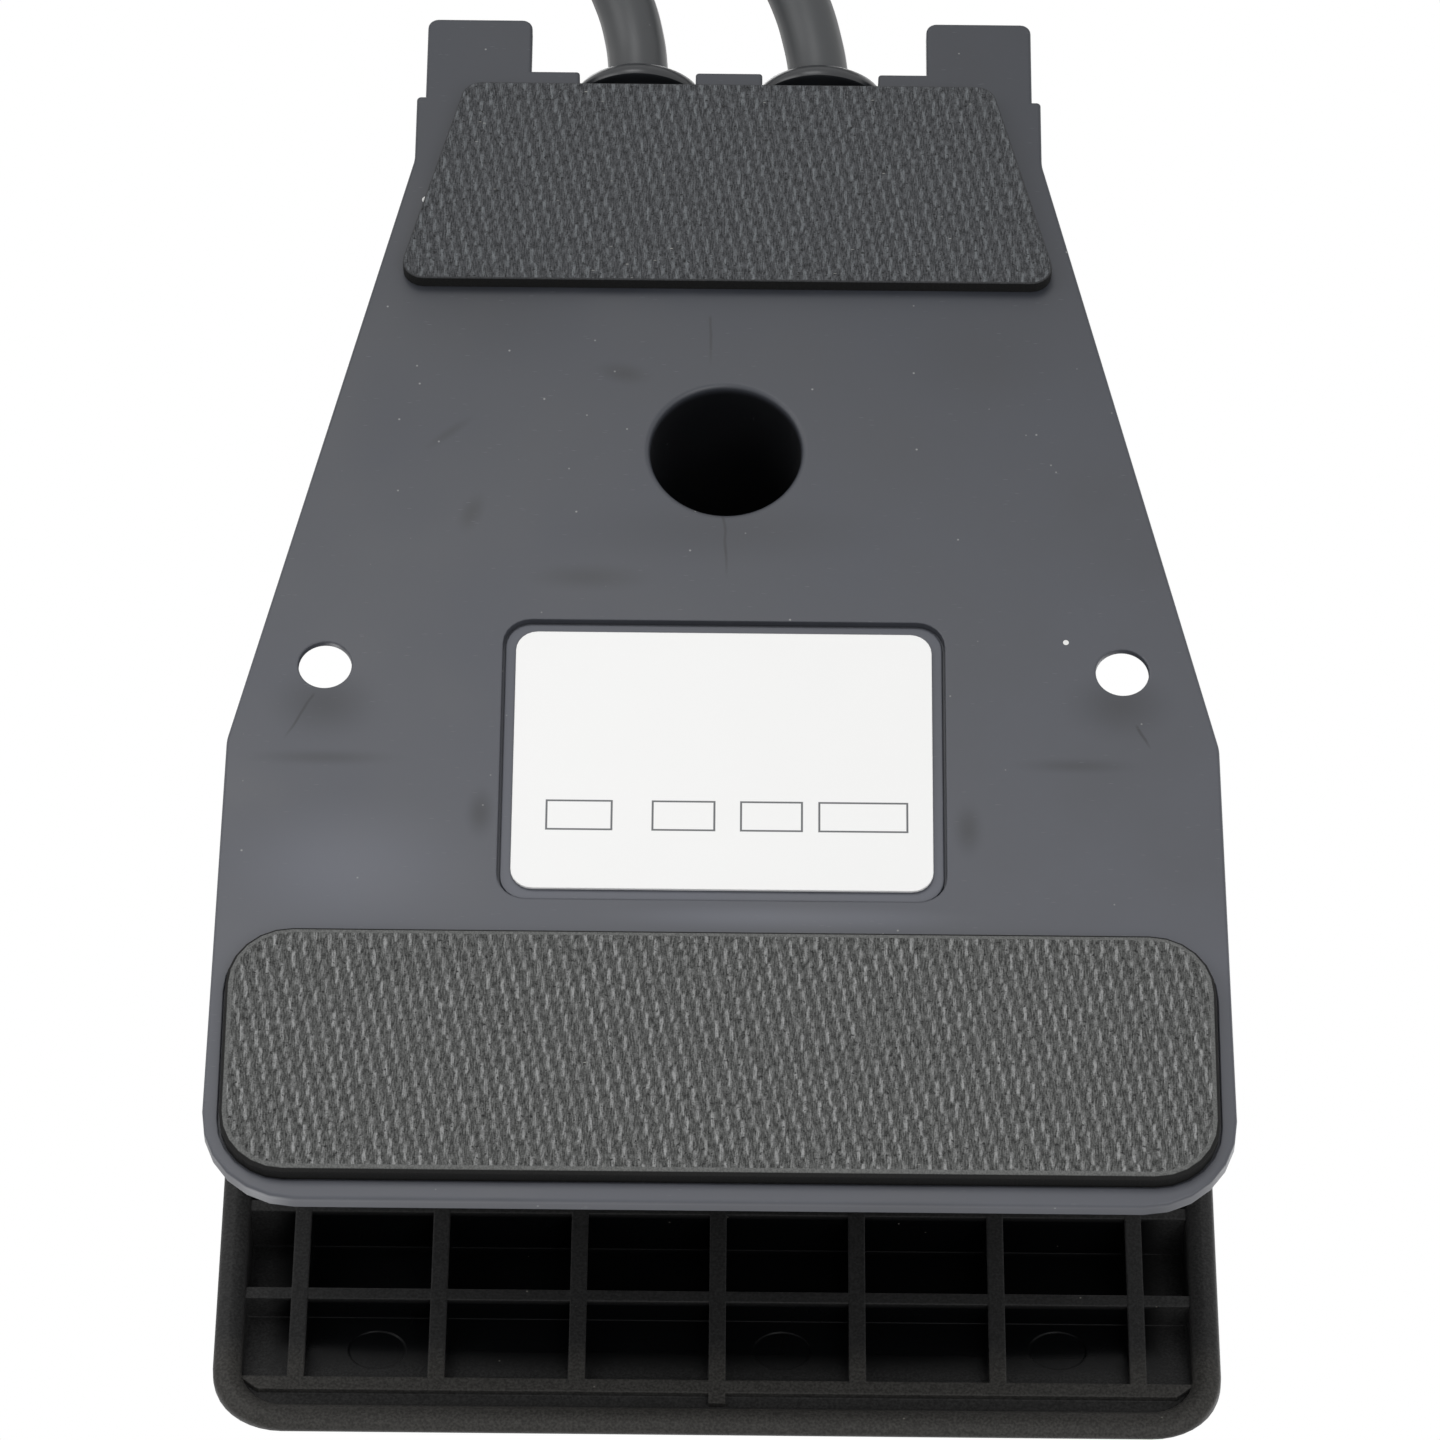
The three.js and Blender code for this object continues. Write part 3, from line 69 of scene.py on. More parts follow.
camera_data = bpy.data.cameras.new("camera")
camera_data.lens = CAMERA_LENS
camera_data.sensor_width = CAMERA_SENSOR
camera_data.clip_start = 0.01
camera = bpy.data.objects.new("camera", camera_data)
camera.matrix_world = Matrix((
    (camera_right.x, camera_up.x, -look.x, CAMERA_AT.x),
    (camera_right.y, camera_up.y, -look.y, CAMERA_AT.y),
    (camera_right.z, camera_up.z, -look.z, CAMERA_AT.z),
    (0, 0, 0, 1),
))
bpy.context.scene.collection.objects.link(camera)
bpy.context.scene.camera = camera
bpy.context.scene.view_settings.view_transform = "Standard"

# ---------------------------------------------------------------- floor, backdrop and light
# A pale floor under the pads, which the photograph's own camera looks through from below, a
# white backdrop, and large soft panels below and above the pedal.


def colour(hexa):
    """An sRGB hex colour as the linear colour that shaders take."""
    parts = [int(hexa[i:i + 2], 16) / 255 for i in (1, 3, 5)]
    return [p / 12.92 if p <= 0.04045 else ((p + 0.055) / 1.055) ** 2.4 for p in parts] + [1.0]


def node(tree, kind, sockets=None, **settings):
    """Adds a shader node. Its sockets take a number, a colour, a node or one of a node's outputs."""
    made = tree.nodes.new("ShaderNode" + kind)
    for name, value in settings.items():
        setattr(made, name, value)
    for name, value in (sockets or {}).items():
        if isinstance(value, bpy.types.Node):
            value = value.outputs[0]
        if isinstance(value, bpy.types.NodeSocket):
            tree.links.new(value, made.inputs[name])
        else:
            made.inputs[name].default_value = value
    return made


def new_material(name):
    """An empty node material and its node tree."""
    material = bpy.data.materials.new(name)
    material.use_nodes = True
    material.node_tree.nodes.clear()
    return material, material.node_tree


FLOOR_SIZE = 8.0
FLOOR_PALE = "#e4e4e2"

paper, tree = new_material("floor_paper")
seen_from_below = node(tree, "NewGeometry").outputs["Backfacing"]
drift = node(tree, "TexNoise", {"Scale": 3.0, "Detail": 2.0})
pale = node(tree, "HueSaturation", {
    "Color": colour(FLOOR_PALE),
    "Value": node(tree, "MapRange", {"Value": drift, "To Min": 0.99, "To Max": 1.01}),
})
sheet_paper = node(tree, "BsdfDiffuse", {"Color": pale, "Roughness": 0.6})
node(tree, "OutputMaterial", {"Surface": node(tree, "MixShader", {
    0: seen_from_below, 1: sheet_paper, 2: node(tree, "BsdfTransparent"),
})})

floor_mesh = bpy.data.meshes.new("floor")
half_floor = FLOOR_SIZE / 2
floor_mesh.from_pydata([(-half_floor, -half_floor, 0), (half_floor, -half_floor, 0),
                        (half_floor, half_floor, 0), (-half_floor, half_floor, 0)], [], [(0, 1, 2, 3)])
floor_mesh.materials.append(paper)
floor = bpy.data.objects.new("floor", floor_mesh)
bpy.context.scene.collection.objects.link(floor)
floor.visible_shadow = False
floor.visible_diffuse = False
floor.visible_glossy = False
floor.visible_transmission = False

AMBIENT = 0.46

world = bpy.data.worlds.new("studio")
world.use_nodes = True
tree = world.node_tree
tree.nodes.clear()
ray = node(tree, "LightPath")
backdrop_seen = node(tree, "Math", {
    0: node(tree, "Math", {0: ray.outputs["Is Camera Ray"], 1: ray.outputs["Is Glossy Ray"]},
            operation="ADD"),
    1: ray.outputs["Is Transmission Ray"],
}, operation="ADD", use_clamp=True)
node(tree, "OutputWorld", {"Surface": node(tree, "Background", {
    "Color": (1, 1, 1, 1),
    "Strength": node(tree, "MapRange", {"Value": backdrop_seen, "To Min": AMBIENT, "To Max": 1.0}),
})})
bpy.context.scene.world = world


def soft_panel(name, place, size, watts, aim=(0, 0, 20)):
    """A square soft box that faces a point of the pedal; place and aim in millimetres."""
    data = bpy.data.lights.new(name, "AREA")
    data.shape = "SQUARE"
    data.size = size * MM
    data.energy = watts
    panel = bpy.data.objects.new(name, data)
    panel.location = Vector(place) * MM
    panel.rotation_euler = ((Vector(aim) - Vector(place))).to_track_quat("-Z", "Y").to_euler()
    panel.visible_camera = False
    bpy.context.scene.collection.objects.link(panel)


soft_panel("panel_under_toe", (-420, -620, -900), 700, 3.6)
soft_panel("panel_under_side", (700, 120, -620), 500, 1.6)
soft_panel("panel_under_rear", (170, 440, -930), 380, 1.7, (0, -60, 0))
soft_panel("panel_key", (650, -850, 1000), 700, 6.0)
soft_panel("panel_fill", (-950, 250, 800), 800, 3.4)
soft_panel("panel_back", (200, 1150, 800), 700, 3.0)

# ---------------------------------------------------------------- supply cord and motor cord
# Round rubber-jacketed cords of three wires, 7.6 mm thick: 1.6 m to the wall plug and 1.5 m to the
# motor's socket. Each leaves its bushing, sinks, and is put away in a tied coil behind the pedal.

CORD_WIDTH = 7.6
LYING = CORD_WIDTH / 2 + 0.1
CORD_TURN_POINTS = 18
CORD_LAYERS = (5.6, 13.2)      # height of the lower turns and of the upper ones
FIRST_MOVE = 226               # degrees wound before the cord first moves in
MOVE_SPAN = 120                # degrees that a move in, up or out takes
NEXT_MOVE = 320                # and from one move's start to the next one's
SUPPLY_COIL = {"middle": (-4.3, 172.7), "radii": (52.4, 44.8, 37.2), "start": -70, "wound": 1854.9}
MOTOR_COIL = {"middle": (9.5, 279.1), "radii": (46.5, 38.9, 31.3), "start": 0, "wound": 1775.8}
SUPPLY_ROUTE = [
    (-11.5, 84.6, 11.5), (-11.5, 86.2, 11.5), (-11.35, 89.8, 11.4), (-10.65, 94, 10.85), (-9.2, 99, 9.75),
    (-6.6, 104.4, 8.35), (-2.8, 110, 7), (1.9, 115.2, 6.1), (7.5, 119.9, 5.7),
]
MOTOR_ROUTE = [
    (11.5, 84.6, 11.5), (11.5, 86.2, 11.5), (11.6, 89.8, 11.35), (12.1, 94, 10.75), (13.5, 99, 9.5),
    (16.4, 104.6, 7.7), (20.8, 110.4, 6), (26.4, 116, 4.7), (33.2, 122, 4), (40.2, 129, LYING),
    (46.6, 138, LYING), (51.8, 149, LYING), (55, 161, LYING), (56, 173, LYING), (56, 190, LYING),
    (56, 208, LYING), (56, 226, LYING), (56, 244, 4.1), (56, 262, 5),
]
SUPPLY_TAIL = [(47.8, 167.2, 13.6), (48, 175.6, 14.6), (46.9, 183.8, 16.1), (44.5, 191.8, 18.1),
               (38.3, 202.8, 21.2), (28.9, 210.6, 23.6), (21.1, 213.7, 24.6), (12.9, 214.7, 25)]
MOTOR_TAIL = [(54.6, 267.9, 13.6), (55.9, 276.1, 14.6), (55.7, 284.5, 16.1), (54, 292.6, 18.1),
              (48.3, 303.8, 21.2), (39, 311.9, 23.6), (31.4, 315, 24.6), (23.1, 316.1, 25)]


def eased(start, end, t):
    """From start to end with a smooth beginning and end, as t goes from 0 to 1."""
    t = min(max(t, 0), 1)
    return start + (end - start) * (1 - math.cos(math.pi * t)) / 2


def wound(coil):
    """Points of a cord wound in two flat layers: in along the lower one, up, and out along the upper."""
    x, y = coil["middle"]
    places = [(radius, CORD_LAYERS[0]) for radius in coil["radii"]]
    places += [(radius, CORD_LAYERS[1]) for radius in reversed(coil["radii"])]
    count = round(coil["wound"] / 360 * CORD_TURN_POINTS)
    points = []
    for i in range(count + 1):
        wound_by = coil["wound"] * i / count
        radius, height = places[0]
        for k, (here, after) in enumerate(zip(places, places[1:])):
            t = (wound_by - FIRST_MOVE - k * NEXT_MOVE) / MOVE_SPAN
            radius += eased(0, after[0] - here[0], t)
            height += eased(0, after[1] - here[1], t)
        angle = math.radians(coil["start"] + wound_by)
        points.append((x + radius * math.cos(angle), y + radius * math.sin(angle), height))
    return points


def cord_curve(name, points, radius):
    """A round cord along points, as one open smooth curve."""
    data = bpy.data.curves.new(name, "CURVE")
    data.dimensions = "3D"
    data.resolution_u = 6
    data.bevel_depth = radius * MM
    data.bevel_resolution = 6
    data.use_fill_caps = True
    line = data.splines.new("BEZIER")
    line.bezier_points.add(len(points) - 1)
    for target, point in zip(line.bezier_points, points):
        target.co = Vector(point) * MM
        target.handle_left_type = target.handle_right_type = "AUTO"
    made = bpy.data.objects.new(name, data)
    bpy.context.scene.collection.objects.link(made)
    return made


# rubber, extruded: a soft dark grey with a broad sheen, faint lengthways drag lines and dust
RUBBER_GREY = "#3b3d3f"
RUBBER_DUST = "#6a6b6a"
DRAG_LINE = 0.5                # millimetres
DUST_SPOT = 0.9
RUBBER_CLOUD = 14

jacket, tree = new_material("extruded_rubber")
place = node(tree, "TexCoord").outputs["Object"]
drag = node(tree, "TexNoise", {"Vector": place, "Scale": 1000 / DRAG_LINE, "Detail": 3.0})
cloudy = node(tree, "TexNoise", {"Vector": place, "Scale": 1000 / RUBBER_CLOUD, "Detail": 3.0})
spots = node(tree, "TexVoronoi", {"Vector": place, "Scale": 1000 / (DUST_SPOT * 4)})
dust = node(tree, "MapRange", {"Value": spots.outputs["Distance"], "From Min": 0.06,
                               "From Max": 0.03, "To Max": 0.5})
shade = node(tree, "Mix", {0: dust, 6: colour(RUBBER_GREY), 7: colour(RUBBER_DUST)},
             data_type="RGBA").outputs[2]
shade = node(tree, "HueSaturation", {
    "Color": shade,
    "Value": node(tree, "MapRange", {"Value": cloudy, "To Min": 0.85, "To Max": 1.15}),
})
rough = node(tree, "MapRange", {"Value": cloudy, "To Min": 0.36, "To Max": 0.5})
raised = node(tree, "Bump", {"Height": drag, "Strength": 0.12, "Distance": 0.00006})
node(tree, "OutputMaterial", {"Surface": node(tree, "BsdfPrincipled", {
    "Base Color": shade, "Roughness": rough, "Normal": raised, "IOR": 1.52,
    "Sheen Weight": 0.15, "Sheen Roughness": 0.4,
})})

for cord_name, route, coil, tail in (("supply_cord", SUPPLY_ROUTE, SUPPLY_COIL, SUPPLY_TAIL),
                                     ("motor_cord", MOTOR_ROUTE, MOTOR_COIL, MOTOR_TAIL)):
    points = route + wound(coil) + tail
    cord = cord_curve(cord_name + "_piece", points, CORD_WIDTH / 2)
    cord.data.materials.append(jacket)
    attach(cord, "base")
    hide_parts(cord_name, cord_name + "_coil", cord_name + "_tail")

# ---------------------------------------------------------------- base plate
# One injection-moulded plate of grey ABS with two rear tabs, hinge posts, a walled bay for the
# control and a hollow tower for the return spring. Its underside is satin, with weld lines at
# the holes, fine scratches and dust.

REAR = 82.6                    # the plate's rear edge
UNDERSIDE = 2.0
DECK = 4.4
PARTING = 11.5                 # where the bay's walls meet the cover
HINGE_Y, HINGE_Z = 83.1, 52.1
PLATE_CORNERS = [              # x, distance ahead of the rear edge, corner radius
    (59.8, 159.6, 11), (59.0, 98.5, 6), (39.2, 13.7, 6), (39.2, 4.1, 0.5), (38.1, 4.1, 0),
    (38.1, -8, 1.3), (24.9, -8, 1.3), (24.9, 0, 0), (18.8, 0, 0.4), (18.8, 2, 0), (4.2, 2, 0), (4.2, 0, 0.4),
]
BAY_CORNERS = [(36, 120.5, 6), (36, 40, 2), (24.9, 40, 0), (24.9, 2, 0)]
BAY_WALL = 2.0
POST_INNER, POST_OUTER, POST_WALL = 25.4, 37.6, 2.4
POST_BOSS = 7.5
POST_BACK, POST_FOOT = 7.5, 36   # reach behind the rear edge, and the foot's length
POST_SUNK = 1.2                # how deep a post stands in the plate
POST_WEB = (5.1, 7.4)          # the wall that closes its back
PIN_BORE = 2.06
TOWER_Y = REAR - 56.8
TOWER_TOP = 39.5
SPIGOT = 4.6
SCREW_HOLES = [(47.7, REAR - 88), (-47.7, REAR - 88)]
COVER_SCREWS = [(27, REAR - 128.5), (-27, REAR - 128.5), (18, REAR - 27), (-18, REAR - 27)]
CORD_SLOTS = (-11.5, 11.5)
PLUNGER_Y = REAR - 103
SLIDER_X, SLIDER_Y, SLIDER_REACH = -23.4, REAR - 68.4, 20   # the pegs under the potentiometer
LABEL_Y = REAR - 100.6
LABEL_RECESS = (53, 38.6, 3.4)   # width, length and corner, with a groove round its floor
LABEL_FLOOR = (52.3, 37.9, 3.05)
LABEL_GROOVE, LABEL_DEEP = 1.15, 0.7
CORD_BORE = 5.7
BORE = 9.6                     # radius of the tower's bore where the shading turns black


def flank(corners, arc_steps=6):
    """The x > 0 side of an outline that is the same on both sides, from the toe to the rear."""
    points = []
    for i, (x, y, radius) in enumerate(corners):
        here = Vector((x, y))
        before = Vector((-x, y)) if i == 0 else Vector(corners[i - 1][:2])
        after = Vector((-x, y)) if i == len(corners) - 1 else Vector(corners[i + 1][:2])
        points += rounded_corner(before, here, after, radius, arc_steps)
    return points


def rounded_corner(before, here, after, radius, arc_steps):
    """Points of the arc that rounds one corner of an outline."""
    back, on = before - here, after - here
    if radius <= 0:
        return [tuple(here)]
    half = abs(back.angle(on)) / 2
    reach = min(radius / math.tan(half), back.length * 0.48, on.length * 0.48)
    radius = reach * math.tan(half)
    middle = here + (back.normalized() + on.normalized()).normalized() * radius / math.sin(half)
    first = here + back.normalized() * reach - middle
    last = here + on.normalized() * reach - middle
    sweep = first.angle_signed(last) * -1
    arc = []
    for k in range(arc_steps + 1):
        turn = sweep * k / arc_steps
        arc.append((middle.x + first.x * math.cos(turn) - first.y * math.sin(turn),
                    middle.y + first.x * math.sin(turn) + first.y * math.cos(turn)))
    return arc


def rounded_outline(corners, arc_steps=6):
    """A closed outline through corners given as two coordinates and a radius."""
    spots = [Vector(c[:2]) for c in corners]
    return [p for i, c in enumerate(corners)
            for p in rounded_corner(spots[i - 1], spots[i], spots[(i + 1) % len(spots)], c[2], arc_steps)]


def both_sides(points):
    return list(points) + [(-x, y) for x, y in reversed(points)]


def plan_outline(corners):
    """An outline from corners given as x, distance ahead of the rear edge, and radius."""
    return both_sides(flank([(x, REAR - ahead, radius) for x, ahead, radius in corners]))


def rounded_box(width, length, radius, x, y, arc_steps=6):
    """A rectangle with rounded corners round a middle."""
    return rounded_outline([(x + across * width / 2, y + along * length / 2, radius)
                            for across, along in ((1, -1), (1, 1), (-1, 1), (-1, -1))], arc_steps)


def drawn_in(points, distance):
    """The outline moved inwards by a distance, with the same number of points."""
    moved = []
    count = len(points)
    for i in range(count):
        here = Vector(points[i])
        back = (here - Vector(points[i - 1]))
        on = (Vector(points[(i + 1) % count]) - here)
        if back.length < 1e-9:
            back = on
        if on.length < 1e-9:
            on = back
        back, on = back.normalized(), on.normalized()
        normal = Vector((-(back.y + on.y), back.x + on.x))
        normal.normalize()
        spread = max(0.35, normal.dot(Vector((-back.y, back.x))))
        moved.append(tuple(here + normal * distance / spread))
    return moved


def round_steps(radius, steps=4):
    """Inset and rise of each step of a rounded edge, from its foot to where the wall is upright."""
    return [(radius * (1 - math.sin(a)), radius * (1 - math.cos(a)))
            for a in (math.pi / 2 * k / steps for k in range(steps + 1))]


def slab(points, low, high, low_round=0.0, high_round=0.0):
    """A flat piece with rounded lower and upper edges, as vertices and faces."""
    levels = []
    if low_round:
        levels += [(inset, low + rise) for inset, rise in round_steps(low_round)]
    else:
        levels.append((0, low))
    if high_round:
        levels += [(inset, high - rise) for inset, rise in reversed(round_steps(high_round))]
    else:
        levels.append((0, high))
    return stepped(points, levels)


def stepped(points, levels):
    """An outline joined through levels, each given as how far it is drawn in and its height."""
    return stacked([[(x, y, z) for x, y in (drawn_in(points, inset) if inset else points)]
                    for inset, z in levels])


def stacked(rings):
    """Closed rings of equal count joined into walls, with a face over each end."""
    count = len(rings[0])
    vertices = [v for ring in rings for v in ring]
    faces = [tuple(range(count - 1, -1, -1)), tuple(range((len(rings) - 1) * count, len(rings) * count))]
    for r in range(len(rings) - 1):
        a, b = r * count, (r + 1) * count
        faces += [(a + i, a + (i + 1) % count, b + (i + 1) % count, b + i) for i in range(count)]
    return vertices, faces


def side_slab(points, left, right, edge=0.0):
    """A slab whose outline is a side view, y and z, and whose thickness runs along x."""
    vertices, faces = slab(points, left, right, edge, edge)
    return [(z, x, y) for x, y, z in vertices], faces


def turned(profile, at, axis="z", sides=64):
    """A turned piece: the profile's points are radius and distance along the axis."""
    rings = []
    for radius, along in profile:
        ring = []
        for k in range(sides):
            turn = 2 * math.pi * k / sides
            across, up = max(radius, 0.001) * math.cos(turn), max(radius, 0.001) * math.sin(turn)
            ring.append({"z": (across, up, along), "y": (up, along, across), "x": (along, across, up)}[axis])
        rings.append([(x + at[0], y + at[1], z + at[2]) for x, y, z in ring])
    return stacked(rings)


def bar(x0, x1, y0, y1, z0, z1):
    """A plain block between two corners, used where pieces are joined or cut."""
    return slab([(x1, y0), (x1, y1), (x0, y1), (x0, y0)], z0, z1)


def mesh_object(name, shape, scale=MM):
    vertices, faces = shape
    mesh = bpy.data.meshes.new(name)
    mesh.from_pydata([(x * scale, y * scale, z * scale) for x, y, z in vertices], [], faces)
    made = bpy.data.objects.new(name, mesh)
    bpy.context.scene.collection.objects.link(made)
    return made


def carved(name, first, *steps):
    """A piece made of a first shape and steps of (operation, shape): UNION, DIFFERENCE, INTERSECT."""
    made = mesh_object(name, first)
    tools = []
    for operation, shape in steps:
        tool = mesh_object(name + "_tool", shape)
        tool.hide_render = True
        step = made.modifiers.new("step", "BOOLEAN")
        step.operation = operation
        step.object = tool
        step.solver = "MANIFOLD"
        tools.append(tool)
    made.data = settled(made)
    made.modifiers.clear()
    for tool in tools:
        bpy.data.meshes.remove(tool.data)
    return made


def settled(made):
    """The mesh that an object's modifiers give."""
    graph = bpy.context.evaluated_depsgraph_get()
    return bpy.data.meshes.new_from_object(made.evaluated_get(graph))


SMOOTH_BELOW = math.radians(34)


def smoothed(made):
    """Shades a piece smooth with sharp corners kept, and with flat faces kept flat."""
    mesh = made.data
    mesh.polygons.foreach_set("use_smooth", [True] * len(mesh.polygons))
    mesh.set_sharp_from_angle(angle=SMOOTH_BELOW)
    weighted = made.modifiers.new("weighted", "WEIGHTED_NORMAL")
    weighted.keep_sharp = True
    made.data = settled(made)
    made.modifiers.clear()
    return made


def finished(made, material, body, slot, *nodes):
    """Gives a piece its finish and its body, and hides the solids that it stands for; its slot is not used.
    """
    smoothed(made)
    made.data.materials.clear()
    made.data.materials.append(material)
    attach(made, body)
    if nodes:
        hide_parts(*nodes)
    return made


def post_side():
    """Side view of a hinge post: y and z of its corners."""
    back = REAR + POST_BACK
    foot = back - POST_FOOT
    lean = math.atan2(HINGE_Z - DECK, HINGE_Y - foot)
    corners = [(foot, DECK - POST_SUNK, 0), (back, DECK - POST_SUNK, 0), (back, HINGE_Z + POST_BOSS, 6.7),
               (HINGE_Y - POST_BOSS / math.tan(lean), HINGE_Z + POST_BOSS, 6.7), (foot, DECK + 4, 2)]
    return rounded_outline(corners)


plate_outline = plan_outline(PLATE_CORNERS)
bay_outline = plan_outline(BAY_CORNERS)
plate_steps = [
    ("UNION", slab(bay_outline, UNDERSIDE + 1, PARTING, 0, 0.3)),
    ("DIFFERENCE", slab(drawn_in(bay_outline, BAY_WALL), DECK, PARTING + 1)),
]
for sign in (1, -1):
    for near, far in ((POST_INNER, POST_INNER + POST_WALL), (POST_OUTER - POST_WALL, POST_OUTER)):
        left, right = sorted((sign * near, sign * far))
        plate_steps.append(("UNION", side_slab(post_side(), left, right, 0.3)))
    left, right = sorted((sign * (POST_INNER + 0.5), sign * (POST_OUTER - 0.5)))
    plate_steps.append(("UNION", bar(left, right, REAR + POST_WEB[0], REAR + POST_WEB[1],
                                     DECK - POST_SUNK, HINGE_Z - POST_BOSS - 3)))
plate_steps.append(("UNION", turned([
    (11.25, UNDERSIDE + 1), (10.4, TOWER_TOP - 0.5), (9.9, TOWER_TOP), (SPIGOT, TOWER_TOP),
    (SPIGOT - 0.1, TOWER_TOP + 3), (SPIGOT - 0.8, TOWER_TOP + 4)], (0, TOWER_Y, 0))))
for x, y in COVER_SCREWS:
    plate_steps.append(("UNION", turned([(4, UNDERSIDE + 1), (4, DECK + 3.8), (3.8, DECK + 4)],
                                        (x, y, 0), sides=32)))
plate_steps.append(("UNION", turned([(1.5, UNDERSIDE + 1), (1.2, DECK + 2.5)], (0, PLUNGER_Y, 0), sides=24)))
for y in (SLIDER_Y - SLIDER_REACH, SLIDER_Y + SLIDER_REACH):
    plate_steps.append(("UNION", turned([(2.6, UNDERSIDE + 1), (2.6, DECK + 3)], (SLIDER_X, y, 0), sides=32)))
plate_steps += [
    ("DIFFERENCE", turned([(10.15, UNDERSIDE - 1), (9.95, UNDERSIDE), (9.55, UNDERSIDE + 0.12),
                           (9.3, UNDERSIDE + 0.4), (9.22, UNDERSIDE + 0.9), (8.4, TOWER_TOP - 2.6),
                           (7.8, TOWER_TOP - 2)], (0, TOWER_Y, 0), sides=96)),
    ("DIFFERENCE", slab(rounded_box(*LABEL_RECESS, 0, LABEL_Y), UNDERSIDE - 1, UNDERSIDE + LABEL_GROOVE)),
    ("UNION", slab(rounded_box(*LABEL_FLOOR, 0, LABEL_Y), UNDERSIDE + LABEL_DEEP, UNDERSIDE + 1.3, 0.1)),
    ("DIFFERENCE", turned([(PIN_BORE, -POST_OUTER - 1), (PIN_BORE, POST_OUTER + 1)],
                          (0, HINGE_Y, HINGE_Z), "x", 32)),
]
for x, y in SCREW_HOLES:
    plate_steps.append(("DIFFERENCE", turned([
        (3.5, UNDERSIDE - 0.5), (3.4, UNDERSIDE), (3.24, UNDERSIDE + 0.08), (3.18, UNDERSIDE + 0.24),
        (3.18, UNDERSIDE + 0.9), (6.5, UNDERSIDE + 0.9), (6.5, DECK + 1)], (x, y, 0))))
for x, y in COVER_SCREWS:
    plate_steps.append(("DIFFERENCE", turned([(3.3, UNDERSIDE - 1), (3.3, DECK + 2), (1.8, DECK + 2),
                                              (1.8, DECK + 5)], (x, y, 0), sides=32)))
for x in CORD_SLOTS:
    plate_steps.append(("DIFFERENCE", turned([(CORD_BORE, REAR - 5), (CORD_BORE, REAR - 1)],
                                             (x, 0, PARTING), "y", 48)))

FRONT_PAD_CORNERS = [(57.6, 157, 7.6), (57.6, 125, 7.6)]
front_pad_outline = plan_outline(FRONT_PAD_CORNERS)
plate_steps.append(("DIFFERENCE", slab(drawn_in(front_pad_outline, -0.3), UNDERSIDE - 1, UNDERSIDE + 0.6)))

base_plate = carved("base_plate_piece", slab(plate_outline, UNDERSIDE, DECK, 0.35, 0.3), *plate_steps)

# ABS, injection moulded and satin: a cool mid grey, painted lighter towards the toe as painted
# light, with a soft sheen that varies in clouds, the mould's fine grain, dark weld lines beyond
# each hole, short bright scratches and pale dust
ABS_GREY = "#30333a"
# painted light: the toe's grey, lighter than the darker rear grey above
ABS_GREY_TOE_LIT = "#4f5158"
ABS_WELD = "#232529"
ABS_SCRATCH = "#85878a"
ABS_DUST = "#b9b9b6"
ABS_CHIP = "#efefed"
MOULD_GRAIN = 0.22             # millimetres, drawn coarser than the real grain so that it shows
SCRATCH_LENGTH = 5.0
DUST_STEP = 3.4                # from one dust mote to the next
ABS_CLOUD = 18.0

abs_grey, tree = new_material("moulded_abs_grey")
place = node(tree, "TexCoord").outputs["Object"]
spot = node(tree, "SeparateXYZ", {0: place})
grain = node(tree, "TexNoise", {"Vector": place, "Scale": 1000 / MOULD_GRAIN, "Detail": 2.0})
clouds = node(tree, "TexNoise", {"Vector": place, "Scale": 1000 / ABS_CLOUD, "Detail": 4.0})
# painted light: the grey runs from the darker rear to the lit toe
toe_ward_light = node(tree, "MapRange", {"Value": spot.outputs["Y"], "From Min": 0.07, "From Max": -0.045})
shade = node(tree, "Mix", {0: toe_ward_light, 6: colour(ABS_GREY), 7: colour(ABS_GREY_TOE_LIT)},
             data_type="RGBA").outputs[2]
tone = node(tree, "MapRange", {"Value": clouds, "From Min": 0.3, "From Max": 0.7,
                               "To Min": 0.88, "To Max": 1.12})

# smears and painted sheen: soft dark or pale patches, as middle, half length, half width, turn and
# how much darker; the broad pale one towards the toe's left side is a painted sheen
SMEARS_AND_SHEEN = [
    (12.6, 36.9, 4.2, 2.0, 12, 0.42), (30.7, 16.4, 1.8, 3.6, 20, 0.4), (33.8, 27.9, 4.5, 0.9, -40, 0.3),
    (47.6, -10.8, 8, 6, 0, 0.42), (-47.4, -10.0, 8, 6, 0, 0.42), (47.4, -18.3, 11, 1.4, 0, 0.36),
    (-42.0, -18.5, 9, 1.4, 0, 0.34), (28.6, -25.7, 2.2, 4.4, 0, 0.5), (-29.0, -27.4, 2.2, 4.6, 0, 0.45),
    (16.4, 7.3, 9, 2.4, 0, 0.34), (0, 14.0, 24, 6, 0, 0.2), (44.0, -33.0, 18, 11, 0, -0.42),
    (-8, -39.5, 26, 2, 0, -0.5), (30, 48, 18, 14, 0, 0.24), (-30, 40, 14, 10, 0, 0.12),
]
for x, y, half_long, half_wide, turn, darker in SMEARS_AND_SHEEN:
    held = node(tree, "Mapping", {
        "Vector": place, "Location": (x * MM, y * MM, UNDERSIDE * MM), "Rotation": (0, 0, math.radians(turn)),
        "Scale": (half_long * MM, half_wide * MM, MM)}, vector_type="TEXTURE")
    away = node(tree, "VectorMath", {0: held}, operation="LENGTH").outputs["Value"]
    fade = node(tree, "MapRange", {"Value": away, "From Min": 1.0, "From Max": 0.0, "To Min": 1.0,
                                   "To Max": 1 - darker}, interpolation_type="SMOOTHSTEP")
    tone = node(tree, "Math", {0: tone, 1: fade}, operation="MULTIPLY")
